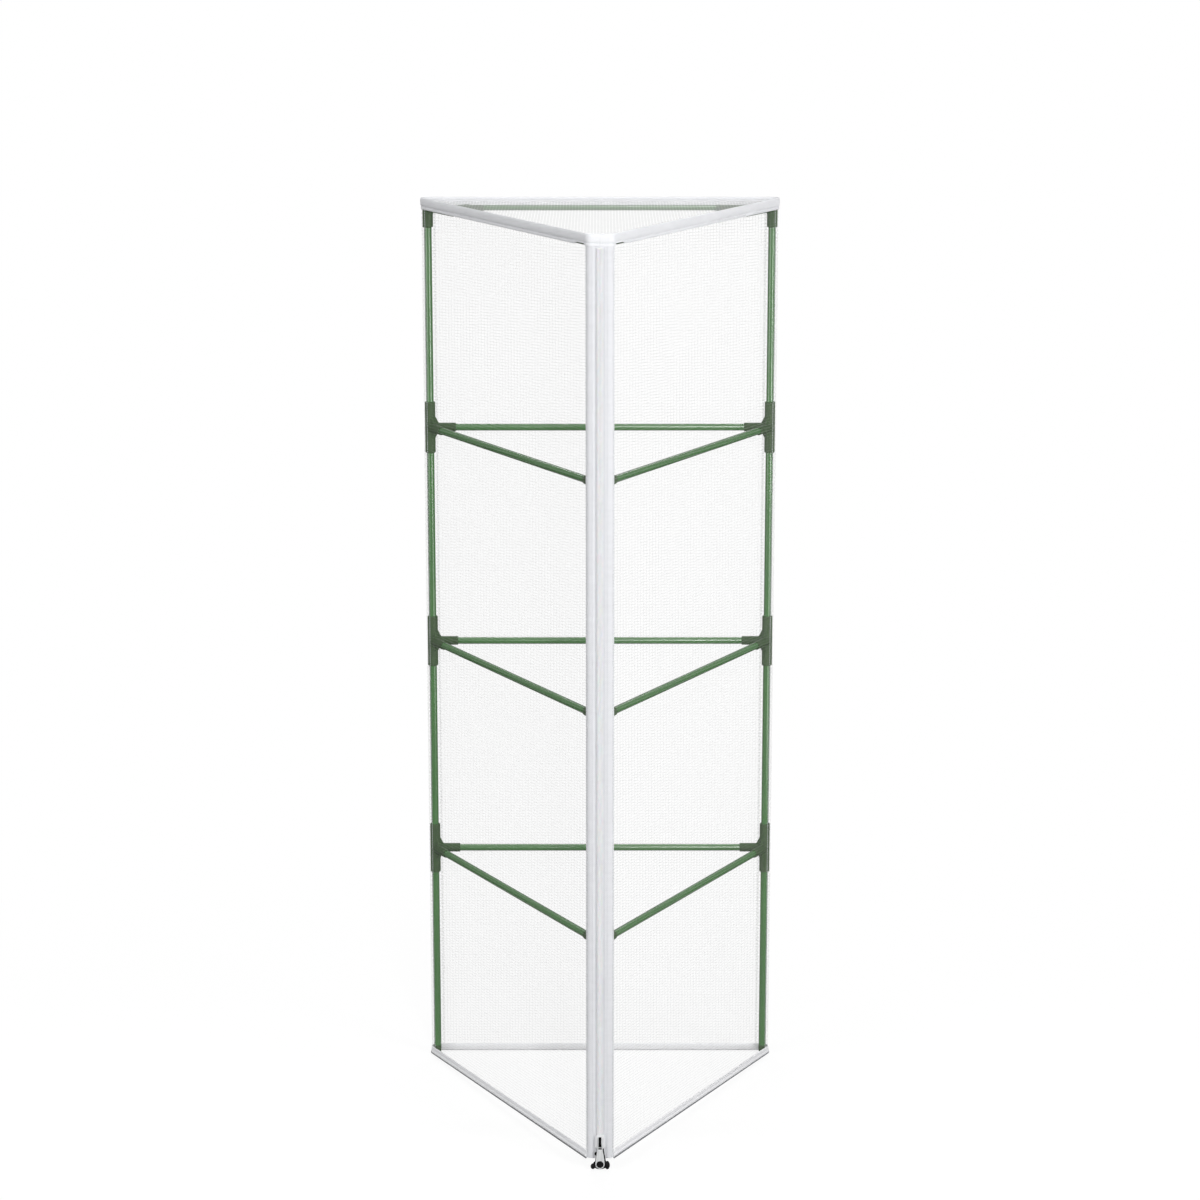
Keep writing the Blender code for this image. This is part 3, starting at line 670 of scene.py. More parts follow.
def set_on_post(skin, post, height, node):
    copy = skin.copy()
    turn = Matrix.Rotation(math.radians(POSTS[post]), 4, "Z")
    copy.transform(Matrix.Translation((*axis[post], height)) @ turn)
    hand_over("moulded_" + node, copy, moulding, "green_moulding", node)


for post in POSTS:
    for k in range(1, 4):
        set_on_post(sleeve_skin, post, middle(f"sleeve_{post}_{k}").z, f"sleeve_{post}_{k}")
    set_on_post(corner_skin, post, top_ring, f"top_corner_{post}")
    bm = bmesh.new()
    profile = [(radius * MM, height * MM) for radius, height in TIP_PROFILE]
    turned(bm, profile, TIP_SIDES, Matrix.Translation((*axis[post], 0)))
    bmesh.ops.recalc_face_normals(bm, faces=bm.faces)
    tip = shaded(meshed(bm))
    hand_over(f"moulded_tip_{post}", tip, moulding, "green_moulding", f"ground_tip_{post}")
print("fittings on", len(POSTS), "posts, top ring at", round(top_ring, 3), "m")

# %% [markdown]
# ## Finish: net
#
# The net is woven from clear polyethylene threads, about 0.2 mm thick and 1 mm apart. From a few
# steps away it is a thin white veil. Real threads would be hundreds of thousands of faces, so the
# cloth is a smooth sheet and the weave is in its alpha. At the picture's size the real spacing is
# finer than a pixel, so it is drawn at 4 mm: bright threads that wander a little, and between
# them a faint veil for the fibres that are too fine to draw. The veil's grey is painted shade: the
# fibres are coloured darker than the threads, as if they lay in the threads' shade.

# %% Net weave
# the fibres' greys are painted shade, lighter on the roof; the threads are white
FIBRE_SHADE_GREY, FIBRE_SHADE_PALE, THREAD_WHITE = paint("#b4b7b4"), paint("#e8e9e8"), paint("#fdfdfd")
NET_PITCH, SEAM_PITCH = 4.0 * MM, 4.6 * MM
THREAD_WIDTH = 0.76 * MM
THREAD_WANDER, WANDER_LENGTH = 0.35 * MM, 14 * MM
BIAS = math.radians(38)


def threads(tree, place, pitch, turn=0.0):
    """A mask that is 1 on two crossing sets of threads and 0 between them."""
    spun = add(tree, "ShaderNodeMapping", {"Rotation": (0, 0, turn), "Vector": place})
    cloud = {"Scale": 1 / WANDER_LENGTH, "Detail": 1.0, "Vector": place}
    wander = add(tree, "ShaderNodeTexNoise", cloud, "Color")
    shift = {"operation": "MULTIPLY_ADD", 0: wander, 1: (THREAD_WANDER,) * 3, 2: spun}
    bent = add(tree, "ShaderNodeVectorMath", shift)
    masks = []
    for way in ("X", "Y"):
        across = add(tree, "ShaderNodeSeparateXYZ", {0: bent}, way)
        fold = add(tree, "ShaderNodeMath", {"operation": "PINGPONG", 0: across, 1: pitch / 2})
        edge = {"interpolation_type": "SMOOTHSTEP", "Value": fold, "To Min": 1.0, "To Max": 0.0}
        edge.update({"From Min": THREAD_WIDTH * 0.3, "From Max": THREAD_WIDTH * 0.7})
        masks.append(add(tree, "ShaderNodeMapRange", edge))
    return add(tree, "ShaderNodeMath", {"operation": "MAXIMUM", 0: masks[0], 1: masks[1]})


def net_finish(name, fibre_shade, veil, opacity, pitch=NET_PITCH, bias=False):
    """Net whose gaps have a fibre veil in painted shade and whose threads have an opacity."""
    made, tree, inputs, place = finish(name, WEAVE, Roughness=0.5, IOR=1.52)
    mask = threads(tree, place, pitch)
    if bias:
        second = threads(tree, place, pitch, BIAS)
        mask = add(tree, "ShaderNodeMath", {"operation": "MAXIMUM", 0: mask, 1: second})
    ends = {"data_type": "RGBA", 0: mask, 6: fibre_shade, 7: THREAD_WHITE}
    shade = add(tree, "ShaderNodeMix", ends, 2)
    uneven = mottle(tree, place, 60, opacity * 0.82, opacity * 1.18)
    alpha = add(tree, "ShaderNodeMapRange", {"To Min": veil, "To Max": uneven, "Value": mask})
    dress(tree, inputs, mask, 0.04, 0.4, Base_Color=shade, Alpha=alpha)
    return made


wall_net = net_finish("woven_polyethylene_net", FIBRE_SHADE_GREY, 0.06, 0.16)
roof_net = net_finish("woven_polyethylene_net_flat", FIBRE_SHADE_PALE, 0.32, 0.4)
seam_net = net_finish("woven_net_doubled", FIBRE_SHADE_GREY, 0.03, 0.2, SEAM_PITCH, True)
print("net drawn at", NET_PITCH / MM, "mm and doubled at", SEAM_PITCH / MM, "mm")

# %% [markdown]
# ## Net walls and roof
#
# The cover hangs from the top ring and is pulled taut by the frame, so its walls are nearly flat,
# with a shallow billow between the rings and faint pulls along the seams. They are swept along
# the belt as open sheets, a fraction of a millimetre outside the sockets. Each runs on under the
# binding and the seams that hold it.

# %% Walls
TUCK = 3 * MM  # how far cloth runs under the tape that holds it
NET_OUT = 0.5 * MM
SEAM_FLAT = 10 * MM  # how far a corner seam runs along each wall
WALL_STEP, WALL_ROWS = 9 * MM, 120
BILLOW, PULL, STAND = 1.3, 0.35, 0.5  # swell, small pulls and stand-off, in millimetres
HELD = 40 * MM  # the swell dies out this close to an edge


def billow(distance, height, edge):
    """How far the cloth stands out from its own plane, less near its edges."""
    slow = noise.noise(Vector((distance * 5, height * 3.2, 3.0)))
    quick = noise.noise(Vector((distance * 42, height * 5, 9.0)))
    hold = min(edge / HELD, 1.0)
    return (BILLOW * slow * hold + PULL * quick + STAND) * MM


def wall(first, last):
    """A net sheet between two distances along the belt, from the hem to the binding."""
    top = PIPING_LOW + TUCK

    def section(distance):
        low = hem_low(distance) + HEM_HEIGHT - TUCK
        edge = min(distance - first, last - distance)
        heights = [low + (top - low) * k / WALL_ROWS for k in range(WALL_ROWS + 1)]
        return [(NET_OUT + billow(distance, height, edge), height) for height in heights]

    return swept(stations(first, last, WALL_STEP), section, closed=False)


left_end, back_start = BENDS[1][0] - SEAM_FLAT, BENDS[1][0] + BENDS[1][1] + SEAM_FLAT
back_end, right_start = BENDS[2][0] - SEAM_FLAT, BENDS[2][0] + BENDS[2][1] + SEAM_FLAT
wall_spans = {
    "left": (TAPE_END - TUCK, left_end + TUCK),
    "back": (back_start - TUCK, back_end + TUCK),
    "right": (right_start - TUCK, BENDS[3][0] + TUCK),
}
walls = {}
for side, (first, last) in wall_spans.items():
    mesh = wall(first, last)
    walls[side] = hand_over(f"woven_net_{side}", mesh, wall_net, "net", f"net_{side}")
    print("wall", side, "cut", round(last - first, 3), "m wide")

# %% Roof
ROOF_HEIGHT = middle("net_roof").z
ROOF_SAG = 3.0 * MM
ROOF_OUT, ROOF_RUCK = 0.4 * MM, 0.5 * MM
ROOF_RINGS = 40

edge_points = [on_belt(d, ROOF_OUT) for d in stations(0, BELT, 12 * MM, 2 * MM)[:-1]]
roof_middle = sum(axis.values(), Vector((0, 0))) / 3
bm = bmesh.new()
weave = bm.loops.layers.uv.new("weave")
rings = []
for k in range(1, ROOF_RINGS + 1):
    share = k / ROOF_RINGS
    ring = []
    for point in edge_points:
        x, y = roof_middle + (point - roof_middle) * share
        ruck = ROOF_RUCK * noise.noise(Vector((x * 14, y * 14, 5.0)))
        ring.append(bm.verts.new((x, y, ROOF_HEIGHT - ROOF_SAG * (1 - share**2) + ruck)))
    rings.append(ring)
centre = bm.verts.new((*roof_middle, ROOF_HEIGHT - ROOF_SAG))
for k in range(len(edge_points)):
    n = (k + 1) % len(edge_points)
    bm.faces.new((centre, rings[0][n], rings[0][k]))
    for inner, outer in zip(rings, rings[1:]):
        bm.faces.new((inner[k], inner[n], outer[n], outer[k]))
for face in bm.faces:
    for loop in face.loops:
        loop[weave].uv = loop.vert.co.xy
bmesh.ops.recalc_face_normals(bm, faces=bm.faces)
roof_mesh = meshed(bm)
if roof_mesh.polygons[0].normal.z < 0:
    roof_mesh.flip_normals()
roof = hand_over("woven_net_roof", shaded(roof_mesh), roof_net, "net", "net_roof")
print("roof", len(roof.data.polygons), "faces")

# %% [markdown]
# ## Corner seams
#
# Where two wall panels meet at a back post, their edges are folded over each other and stitched
# down, so the post is seen through a doubled net with its threads on the bias. The seam is one
# more sheet, a little outside the walls.

# %% Corner seams
SEAM_OUT = 1.2 * MM
SEAM_ROWS, SEAM_PULL = 60, 0.12 * MM


def corner_seam(first, last):
    top, low = PIPING_LOW + TUCK, HEM_BACK + HEM_HEIGHT - TUCK

    def section(distance):
        pull = SEAM_PULL * noise.noise(Vector((distance * 60, 2.0, 1.0)))
        heights = [low + (top - low) * k / SEAM_ROWS for k in range(SEAM_ROWS + 1)]
        return [(SEAM_OUT + pull, height) for height in heights]

    return swept(stations(first, last, 2 * MM), section, closed=False)


seam_spans = {"left": (left_end, back_start), "right": (back_end, right_start)}
seams = {}
for side, span in seam_spans.items():
    mesh = corner_seam(*span)
    seams[side] = hand_over(f"net_seam_{side}", mesh, seam_net, "binding", f"corner_seam_{side}")
    print("seam", side, round((span[1] - span[0]) / MM, 1), "mm wide")

# %% [markdown]
# ## Finish: woven polyester tape
#
# The binding, the hem and the zip's tape are narrow woven polyester. Light catches the ribs of
# the weave, and the white has a cool grey in it. The real ribs are 0.4 mm apart, too fine to
# show, so they are drawn at about 1.3 mm. The zip's tape is woven in a herringbone, whose ribs
# run at a slant. The sewing thread is spun from short fibres, so it is dull, twisted and a little
# greyer than the tape.

# %% Tapes and thread
RIB_SHADE = (0.94, 0.94, 0.95, 1)  # what is left of the light on top of a rib


def ribs(tree, place, pitch, direction):
    """Parallel ribs, their pitch in millimetres, across a direction, as a height from 0 to 1."""
    wave_period = 0.31416  # length of one wave at scale 1
    values = {"bands_direction": direction, "Scale": wave_period / (pitch * MM)}
    values.update({"Distortion": 0.4, "Vector": place})
    return add(tree, "ShaderNodeTexWave", values, "Fac")


def tape_finish(name, shade, light, pitch, direction):
    made, tree, inputs, place = finish(name, WEAVE, IOR=1.5, Sheen_Weight=0.12, Sheen_Roughness=0.5)
    across = ribs(tree, place, pitch, direction)
    colour = mottle(tree, place, 22, shade, light, (1, 4, 1))
    ends = {"data_type": "RGBA", "blend_type": "MULTIPLY", 0: across, 6: colour, 7: RIB_SHADE}
    darker = add(tree, "ShaderNodeMix", ends, 2)
    worn = mottle(tree, place, 4, 0.62, 0.82)
    dress(tree, inputs, across, 0.18, 0.5, Base_Color=darker, Roughness=worn)
    return made


def yarn_finish(name, shade, light, pitch, **sockets):
    made, tree, inputs, place = finish(name, OBJECT_SPACE, **sockets)
    twist = ribs(tree, place, pitch, "DIAGONAL")
    dress(tree, inputs, twist, 0.1, 0.5, Base_Color=mottle(tree, place, 2, shade, light))
    return made


binding = tape_finish("woven_polyester_binding", "#e4e5e8", "#f2f3f5", 1.3, "X")
# the same tape as the binding, its colour painted brighter: painted light from the white floor
hem_tape_painted_brighter = tape_finish("woven_polyester_hem_painted_brighter", "#f6f7f9", "#fdfdfe", 1.3, "X")
zip_cloth = tape_finish("herringbone_zip_tape", "#d8d9dc", "#e5e6e9", 1.4, "DIAGONAL")
thread = yarn_finish(
    "spun_polyester_thread", "#c9cbd0", "#dcdee2", 0.5, Roughness=0.6, Sheen_Weight=0.2
)

# %% [markdown]
# ## Binding and hem
#
# The top edge is bound with a tape that is folded over the raw edges of the walls and the roof,
# with a rounded roll above and a flat lip below, and stitched through the groove between them.
# Inside, the fold drapes over the rods, and it is drawn in at the posts, where the corners leave
# no room. Beside the zip the lip rides up over the front corner's sockets. The hem is the same
# tape turned the other way up: its roll is at the bottom. Its colour is painted brighter than the
# binding's, a painted light for the light that the white floor throws up onto it. Both are closed
# sections swept along the belt. Stitching gathers a tape slightly, so the section swells and
# sinks a little as it goes.

# %% Sections, in millimetres outwards and up from the lower edge
PIPING = [
    (0.5, 0.0), (1.3, 0.1), (1.6, 0.5), (1.65, 1.8), (1.55, 3.0), (1.2, 3.6), (1.2, 4.2),
    (1.75, 4.9), (2.15, 6.2), (2.4, 8.5), (2.4, 11.0), (2.2, 13.2), (1.8, 14.7), (1.2, 15.4),
    (0.6, 15.2), (0.15, 14.2), (-0.4, 12.9), (-4.0, 12.4), (-8.5, 11.2), (-11.5, 8.6),
    (-12.6, 6.0), (-12.2, 5.8), (-11.0, 8.2), (-8.2, 10.7), (-4.0, 11.8), (0.0, 11.6), (0.0, 6.0),
    (0.0, 1.0), (0.15, 0.3),
]
HEM = [
    (0.6, 0.0), (1.6, 0.25), (2.2, 1.1), (2.4, 2.4), (2.2, 3.6), (1.8, 4.5), (1.45, 5.0),
    (1.45, 5.5), (1.55, 6.2), (1.5, 8.6), (1.3, 9.6), (0.8, 10.0), (0.3, 9.8), (0.0, 9.0),
    (0.0, 5.0), (0.0, 1.2), (0.15, 0.4),
]
FOLD_EDGE, FOLD_TOP, FOLD_LEFT = -0.5, 12.2, 0.08  # where the fold starts, and its share at a post
LIP_TOP, LIP_RIDE = 5, 2.8
PIPING_GROOVE, HEM_GROOVE, GROOVE_OUT = 3.9 * MM, 5.25 * MM, 1.3 * MM
POST_ROOM = 25 * MM  # how far from a post the fold has its full reach
RIDE_RISE, RIDE_END, RIDE_FALL = 4, 28, 6  # millimetres along, from the zip's tape
EDGE_STEP, GATHER = 4 * MM, 0.07
JOIN = 0.05 * MM  # half of the gap between two lengths of tape


def past_post(distance):
    """0 at a post, rising to 1 along the side."""
    gaps = [max(bend[0] - distance, distance - bend[0] - bend[1], 0) for bend in BENDS]
    return min(min(gaps) / POST_ROOM, 1.0)


def beside_zip(distance):
    """1 where the binding rides up over the front top corner's sockets, else 0."""
    along = min(distance - TAPE_END, BELT - TAPE_END - distance) / MM
    return max(0.0, min(along / RIDE_RISE, (RIDE_END - along) / RIDE_FALL, 1.0))


def edging(first, last, profile, low):
    """A folded tape between two distances, its lower edge where low says."""

    def section(distance):
        gather = 1 + GATHER * noise.noise(Vector((distance * 95, 4.0, 2.0)))
        base, room = low(distance), past_post(distance)
        ride = LIP_RIDE * beside_zip(distance) if profile is PIPING else 0
        points = []
        for out, up in profile:
            if out < FOLD_EDGE:
                out *= FOLD_LEFT + (1 - FOLD_LEFT) * room
                up = FOLD_TOP + (up - FOLD_TOP) * room
            if up < LIP_TOP:
                up += ride * (1 - up / LIP_TOP)
            points.append((out * gather * MM, base + up * MM))
        return points

    return swept(stations(first, last, EDGE_STEP), section, closed=True)


edge_spans = {
    "left": (JOIN, left_end - JOIN),
    "back": (left_end + JOIN, right_start - JOIN),
    "right": (right_start + JOIN, BELT - JOIN),
}
hem_spans = {
    "left": (TAPE_END + JOIN, edge_spans["left"][1]),
    "back": edge_spans["back"],
    "right": (edge_spans["right"][0], BELT - TAPE_END - JOIN),
}
pipings, hems = {}, {}
for side in SIDES:
    mesh = edging(*edge_spans[side], PIPING, lambda d: PIPING_LOW)
    pipings[side] = hand_over(f"bound_edge_{side}", mesh, binding, "binding", f"piping_{side}")
    mesh = edging(*hem_spans[side], HEM, hem_low)
    hems[side] = hand_over(f"bound_hem_{side}", mesh, hem_tape_painted_brighter, "binding", f"hem_{side}")
print("hem", round(hem_low(TAPE_END), 4), "m up at the zip and", round(HEM_BACK, 4), "at the back")

# %% [markdown]
# ## Stitches
#
# A lockstitch is a row of short rounded bars of thread, each pulled down at its ends. The recipe
# takes a line, sets a point every stitch length along it and puts one small bar at each point,
# turned to follow the line. A stitch on real cloth like this is about 3 mm long.

# %% The stitch recipe
# pitch, length and thickness of one stitch or loop
LOCKSTITCH = (3.2 * MM, 2.5 * MM, 0.55 * MM)
CLOSE_STITCH = (2.2 * MM, 2.0 * MM, 0.7 * MM)
# close, fat loops for the painted shadow line under the hem
SHADOW_LINE_LOOPS = (1.8 * MM, 2.6 * MM, 2.3 * MM)
ON_SEAM, SEAM_INSET = 0.1 * MM, 1.5 * MM  # how a seam's stitches lie on it and inside its edges
LINE_STEP = 6 * MM

sewn, given = recipe(
    "row of stitches", Pitch="Float", Length="Float", Thickness="Float", Thread="Material"
)
line = add(sewn, "GeometryNodeMeshToCurve", {0: given["Geometry"]})
places = {"mode": "LENGTH", "Curve": line, "Length": given["Pitch"]}
places = add(sewn, "GeometryNodeResampleCurve", places)
ball = add(sewn, "GeometryNodeMeshUVSphere", {"Segments": 6, "Rings": 5, "Radius": 0.5})
size = {"X": given["Thickness"], "Y": given["Thickness"], "Z": given["Length"]}
size = add(sewn, "ShaderNodeCombineXYZ", size)
stitch = add(sewn, "GeometryNodeTransform", {"Geometry": ball, "Scale": size})
tangent = add(sewn, "GeometryNodeInputTangent")
facing = add(sewn, "FunctionNodeAlignRotationToVector", {"axis": "Z", "Vector": tangent})
laid = {"Points": places, "Instance": stitch, "Rotation": facing}
served(sewn, add(sewn, "GeometryNodeInstanceOnPoints", laid), given["Thread"])


# %% Stitch rows
def stitch_rows(name, lines, sizes=LOCKSTITCH, yarn=thread):
    """Sews along each line of points and keeps all the rows as one piece."""
    start = bpy.data.meshes.new("lines")
    points, edges = [], []
    for line in lines:
        edges += [(len(points) + k, len(points) + k + 1) for k in range(len(line) - 1)]
        points += line
    start.from_pydata(points, edges, [])
    pitch, length, thickness = sizes
    mesh = grown(sewn, start, Pitch=pitch, Length=length, Thickness=thickness, Thread=yarn)
    return hand_over(name, mesh, yarn, "binding")


def line_along(first, last, outward, height):
    return [(*on_belt(d, outward), height(d)) for d in stations(first, last, LINE_STEP)]


def line_up(distance, outward, low, high):
    x, y = on_belt(distance, outward)
    return [(x, y, low), (x, y, high)]


stitches, seam_stitches = {}, {}
for side in SIDES:
    top_row = line_along(*edge_spans[side], GROOVE_OUT, lambda d: PIPING_LOW + PIPING_GROOVE)
    low_row = line_along(*hem_spans[side], GROOVE_OUT, lambda d: hem_low(d) + HEM_GROOVE)
    stitches[side] = stitch_rows(f"edge_stitches_{side}", [top_row, low_row])
for side, (first, last) in seam_spans.items():
    rows = [
        line_up(d, SEAM_OUT + ON_SEAM, HEM_BACK + HEM_HEIGHT, PIPING_LOW)
        for d in (first + SEAM_INSET, last - SEAM_INSET)
    ]
    seam_stitches[side] = stitch_rows(f"seam_stitches_{side}", rows)
print("stitches on", len(stitches) + len(seam_stitches), "pieces")

# %% [markdown]
# A row of close, fat loops of dark grey thread runs just under the hem's lower edge. It is a
# painted shadow, drawn as thread: it reads as the thin dark line of shade under the hem. The
# same recipe sews it, with short fat stitches that touch.

# %% Painted shadow line under the hem
SHADOW_LINE_OUT = 1.7 * MM

# dark grey thread: a painted shadow under the hem's lower edge
shadow_line_thread = yarn_finish(
    "dark_thread_painted_shadow", "#66676a", "#808185", 0.6, Roughness=0.7, Sheen_Weight=0.1
)


def loop_height(distance):
    """Just under the hem, and a little lower where the hem is lifted by the zip."""
    lifted = (hem_low(distance) - HEM_BACK) / (HEM_FRONT - HEM_BACK)
    return hem_low(distance) + (0.3 - 1.0 * lifted) * MM


hem_shadow_lines = {}
for side in SIDES:
    row = line_along(*hem_spans[side], SHADOW_LINE_OUT, loop_height)
    hem_shadow_lines[side] = stitch_rows(f"hem_painted_shadow_line_{side}", [row], SHADOW_LINE_LOOPS, shadow_line_thread)
    print("painted_shadow_line", side, len(hem_shadow_lines[side].data.polygons), "faces")

# %% [markdown]
# ## The zip's tapes and coils
#
# A coil zip is two woven tapes with a spiral of nylon sewn to each edge. Every turn of one spiral
# sits between two turns of the other. Each spiral is one long flattened helix, which Geometry
# Nodes make from a spiral curve, squashed and thickened. The tapes are swept along the belt as
# the binding is, and carry a fine ridge where the net's folded edge lies under them.

# %% Zip tapes
TAPE_GAP = 0.02 * MM
TAPE_ROWS, TAPE_WAVE = 70, 0.10 * MM
RIDGE_AT, RIDGE_WIDTH, RIDGE_HEIGHT = 9.3 * MM, 1.4 * MM, 0.35 * MM
COIL_SEAM_AT = 5.3 * MM


def zip_tape(first, last):
    low, high = HEM_FRONT, PIPING_LOW + 0.5 * MM
    heights = [low + (high - low) * k / TAPE_ROWS for k in range(TAPE_ROWS + 1)]

    def section(distance):
        across = min(distance, BELT - distance)
        ridge = RIDGE_HEIGHT * math.exp(-(((across - RIDGE_AT) / RIDGE_WIDTH) ** 2))
        outer = []
        for height in heights:
            wave = TAPE_WAVE * noise.noise(Vector((across * 90, height * 22, 8.0)))
            outer.append((TAPE_THICKNESS + ridge + wave, height))
        return outer + [(0.0, height) for height in heights[:: TAPE_ROWS // 10][::-1]]

    return swept(stations(first, last, 0.7 * MM, 0.9 * MM), section, closed=True)


tapes = {}
for side, first, last in (
    ("left", TAPE_GAP, TAPE_END),
    ("right", BELT - TAPE_END, BELT - TAPE_GAP),
):
    mesh, node = zip_tape(first, last), f"zip_tape_{side}"
    tapes[side] = hand_over("woven_" + node, mesh, zip_cloth, "zip_tape", node)
for name, across, out, sizes in (
    ("zip_tape_stitches", RIDGE_AT, 0.45 * MM, LOCKSTITCH),
    ("zip_coil_stitches", COIL_SEAM_AT, 0.1 * MM, CLOSE_STITCH),
):
    rows = [
        line_up(d, TAPE_THICKNESS + out, HEM_FRONT + 2 * MM, PIPING_LOW)
        for d in (across, BELT - across)
    ]
    stitch_rows(name, rows, sizes)
print("zip tapes", round((TAPE_END - TAPE_GAP) / MM, 1), "mm wide each")

# %% The coil recipe
WIRE_SIDES, POINTS_PER_TURN = 6, 11

# drawn smooth through a die and a little clear, so it looks milky, with a soft shine
nylon = speckled(
    "nylon_monofilament",
    colour=(5, "#ecedef", "#f6f7f8"),
    rough=(3, 0.28, 0.42),
    IOR=1.53,
    Subsurface_Weight=0.15,
    Subsurface_Scale=0.4 * MM,
)
coil, given = recipe(
    "zip coil",
    Turns="Float", Height="Float", Squash="Vector", Place="Vector", Wire="Float", Nylon="Material",
)
helix = {"Resolution": POINTS_PER_TURN, "Start Radius": 1.0, "End Radius": 1.0}
helix.update({"Rotations": given["Turns"], "Height": given["Height"]})
spiral = add(coil, "GeometryNodeCurveSpiral", helix)
squashed = add(
    coil,
    "GeometryNodeTransform",
    {"Geometry": spiral, "Scale": given["Squash"], "Translation": given["Place"]},
)
served(coil, tube_along(coil, squashed, WIRE_SIDES, given["Wire"]), given["Nylon"])

# %% Coils
COIL_PITCH, WIRE_RADIUS, PAST_MIDDLE = 1.5 * MM, 0.37 * MM, 0.35 * MM

chain_low, chain_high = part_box("zip_chain_left")
coil_outer = -chain_low.x
coil_half_width = (coil_outer + PAST_MIDDLE) / 2 - WIRE_RADIUS
coil_half_depth = (chain_high.y - chain_low.y) / 2 - WIRE_RADIUS
coil_height = chain_high.z - chain_low.z - 1.5 * COIL_PITCH
for side, sign, lift in (("left", -1, 0.0), ("right", 1, 0.5)):
    centre = sign * (coil_outer - PAST_MIDDLE) / 2
    depth = (chain_low.y + chain_high.y) / 2
    mesh = grown(
        coil,
        Turns=coil_height / COIL_PITCH,
        Height=coil_height,
        Squash=(sign * coil_half_width, coil_half_depth, 1.0),
        Place=(centre, depth, chain_low.z + WIRE_RADIUS + lift * COIL_PITCH),
        Wire=WIRE_RADIUS,
        Nylon=nylon,
    )
    hand_over(f"nylon_coil_{side}", mesh, nylon, "zip_chain", f"zip_chain_{side}")
print("coils of", round(coil_height / COIL_PITCH), "turns")

# %% [markdown]
# ## The slider
#
# The slider is cast in zinc and enamelled white. It is two shield-shaped plates joined by a thin
# neck, with flanges that turn back round the chain. Its wide end, with a mouth for each open half
# of the chain, points down, because the zip closes downwards. Castings have no sharp corners, so
# the plates and flanges are melted into one skin, and the front plate is then crowned a little.

# %% Enamel
enamel = speckled(
    "enamel_on_cast_zinc",
    colour=(4, "#dfe0e2", "#ececee"),
    rough=(1.5, 0.25, 0.4),
    grain=(1.2, 0.05, 0.4),
    IOR=1.5,
    Coat_Weight=0.25,
    Coat_Roughness=0.12,
)

# %% The slider's body
SHIELD = [
    (0, -9.1), (2.4, -9.5), (4.6, -9.4), (6.0, -8.5), (6.5, -7.2), (6.5, -3), (6.4, 1),
    (6.1, 4), (5.5, 6.6), (4.8, 8.3), (3.8, 9.2), (2.2, 9.5), (0, 9.5),
]  # half of a plate's edge, in millimetres
FLANGED = SHIELD[3:10]  # the part of it that carries a flange
FLANGE = 1.5  # its width
NECK = [(-0.5, -7), (0.5, -7), (0.5, 8), (-0.5, 8)]
FRONT_PLATE, BACK_PLATE = 1.4 * MM, 1.5 * MM
LIP_GAP = 0.3 * MM  # between a flange and the tape
CROWN = 0.55 * MM  # how much lower the front plate's edges are than its middle
CAST_VOXEL = 0.27 * MM

slider_low, slider_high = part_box("zip_slider")
slider_middle = (slider_low + slider_high) / 2
pivot = Vector(next(j for j in frame["joints"] if j["name"] == "pull_swing")["pos_m"])


def in_metres(points, sign=1):
    return [(sign * x * MM, z * MM) for x, z in points]


def layer(bm, outline, low_y, high_y, height):
    """A plate that fills the depth between two Y values."""
    place = Matrix.Translation((0, (low_y + high_y) / 2, height))
    flat_plate(bm, outline, high_y - low_y, place)


bm = bmesh.new()
whole = in_metres(SHIELD) + in_metres(SHIELD, -1)[-2:0:-1]
front_y, back_y = slider_low.y, slider_high.y
lip_y = axis["front"].y - TAPE_BACK - TAPE_THICKNESS - LIP_GAP
layer(bm, whole, front_y, front_y + FRONT_PLATE, slider_middle.z)
layer(bm, whole, back_y - BACK_PLATE, back_y, slider_middle.z)
layer(bm, in_metres(NECK), front_y + FRONT_PLATE / 2, back_y - BACK_PLATE / 2, slider_middle.z)
for sign in (-1, 1):
    flange = in_metres([*FLANGED, *((x - FLANGE, z) for x, z in FLANGED[::-1])], sign)
    layer(bm, flange, front_y + FRONT_PLATE / 2, lip_y, slider_middle.z)
body = melted(bm, CAST_VOXEL, rounds=3)
for vert in body.vertices:
    depth = (front_y + FRONT_PLATE - vert.co.y) / FRONT_PLATE
    if depth > 0:
        across = (vert.co.x / slider_high.x) ** 2
        endward = abs((vert.co.z - slider_middle.z) / (SHIELD[-1][1] * MM)) ** 4
        vert.co.y += depth * CROWN * min(across + 0.5 * endward, 1.0)
hand_over("cast_slider", body, enamel, "slider_enamel", "zip_slider", body="slider")
print("slider", len(body.polygons), "faces, pivot at", tuple(round(x, 4) for x in pivot))

# %% [markdown]
# ## The bridge
#
# A painted steel staple stands on the front plate and holds the pull. It is a flat strip bent
# into a low arch, so it is built as a strip: points down its middle, each with a width, and a
# section with rounded edges at each. The paint is black and nearly matt.

# %% Black paint
black_paint = speckled(
    "black_paint_on_steel",
    colour=(1.5, "#050506", "#0b0b0c"),
    rough=(0.9, 0.45, 0.6),
    grain=(0.6, 0.03, 0.4),
    IOR=1.5,
    Specular_IOR_Level=0.1,
)

# %% The bridge
STRIP = 1.2  # thickness, in millimetres
STRIP_SIDES, STRIP_ROUND = 16, 0.35
# behind the pivot, above it and half width, in millimetres, along the strip's middle
BRIDGE_LINE = [
    (0.75, -1.80, 1.80), (-0.40, -1.80, 1.80), (-1.15, -1.72, 1.80), (-1.60, -1.30, 1.80),
    (-1.70, -0.60, 1.75), (-1.70, 1.50, 1.70), (-1.70, 4.00, 1.70), (-1.70, 6.80, 1.70),
    (-1.66, 8.30, 1.75), (-1.40, 9.20, 1.80), (-0.80, 9.75, 1.80), (0.00, 9.88, 1.80),
    (0.75, 9.88, 1.80),
]


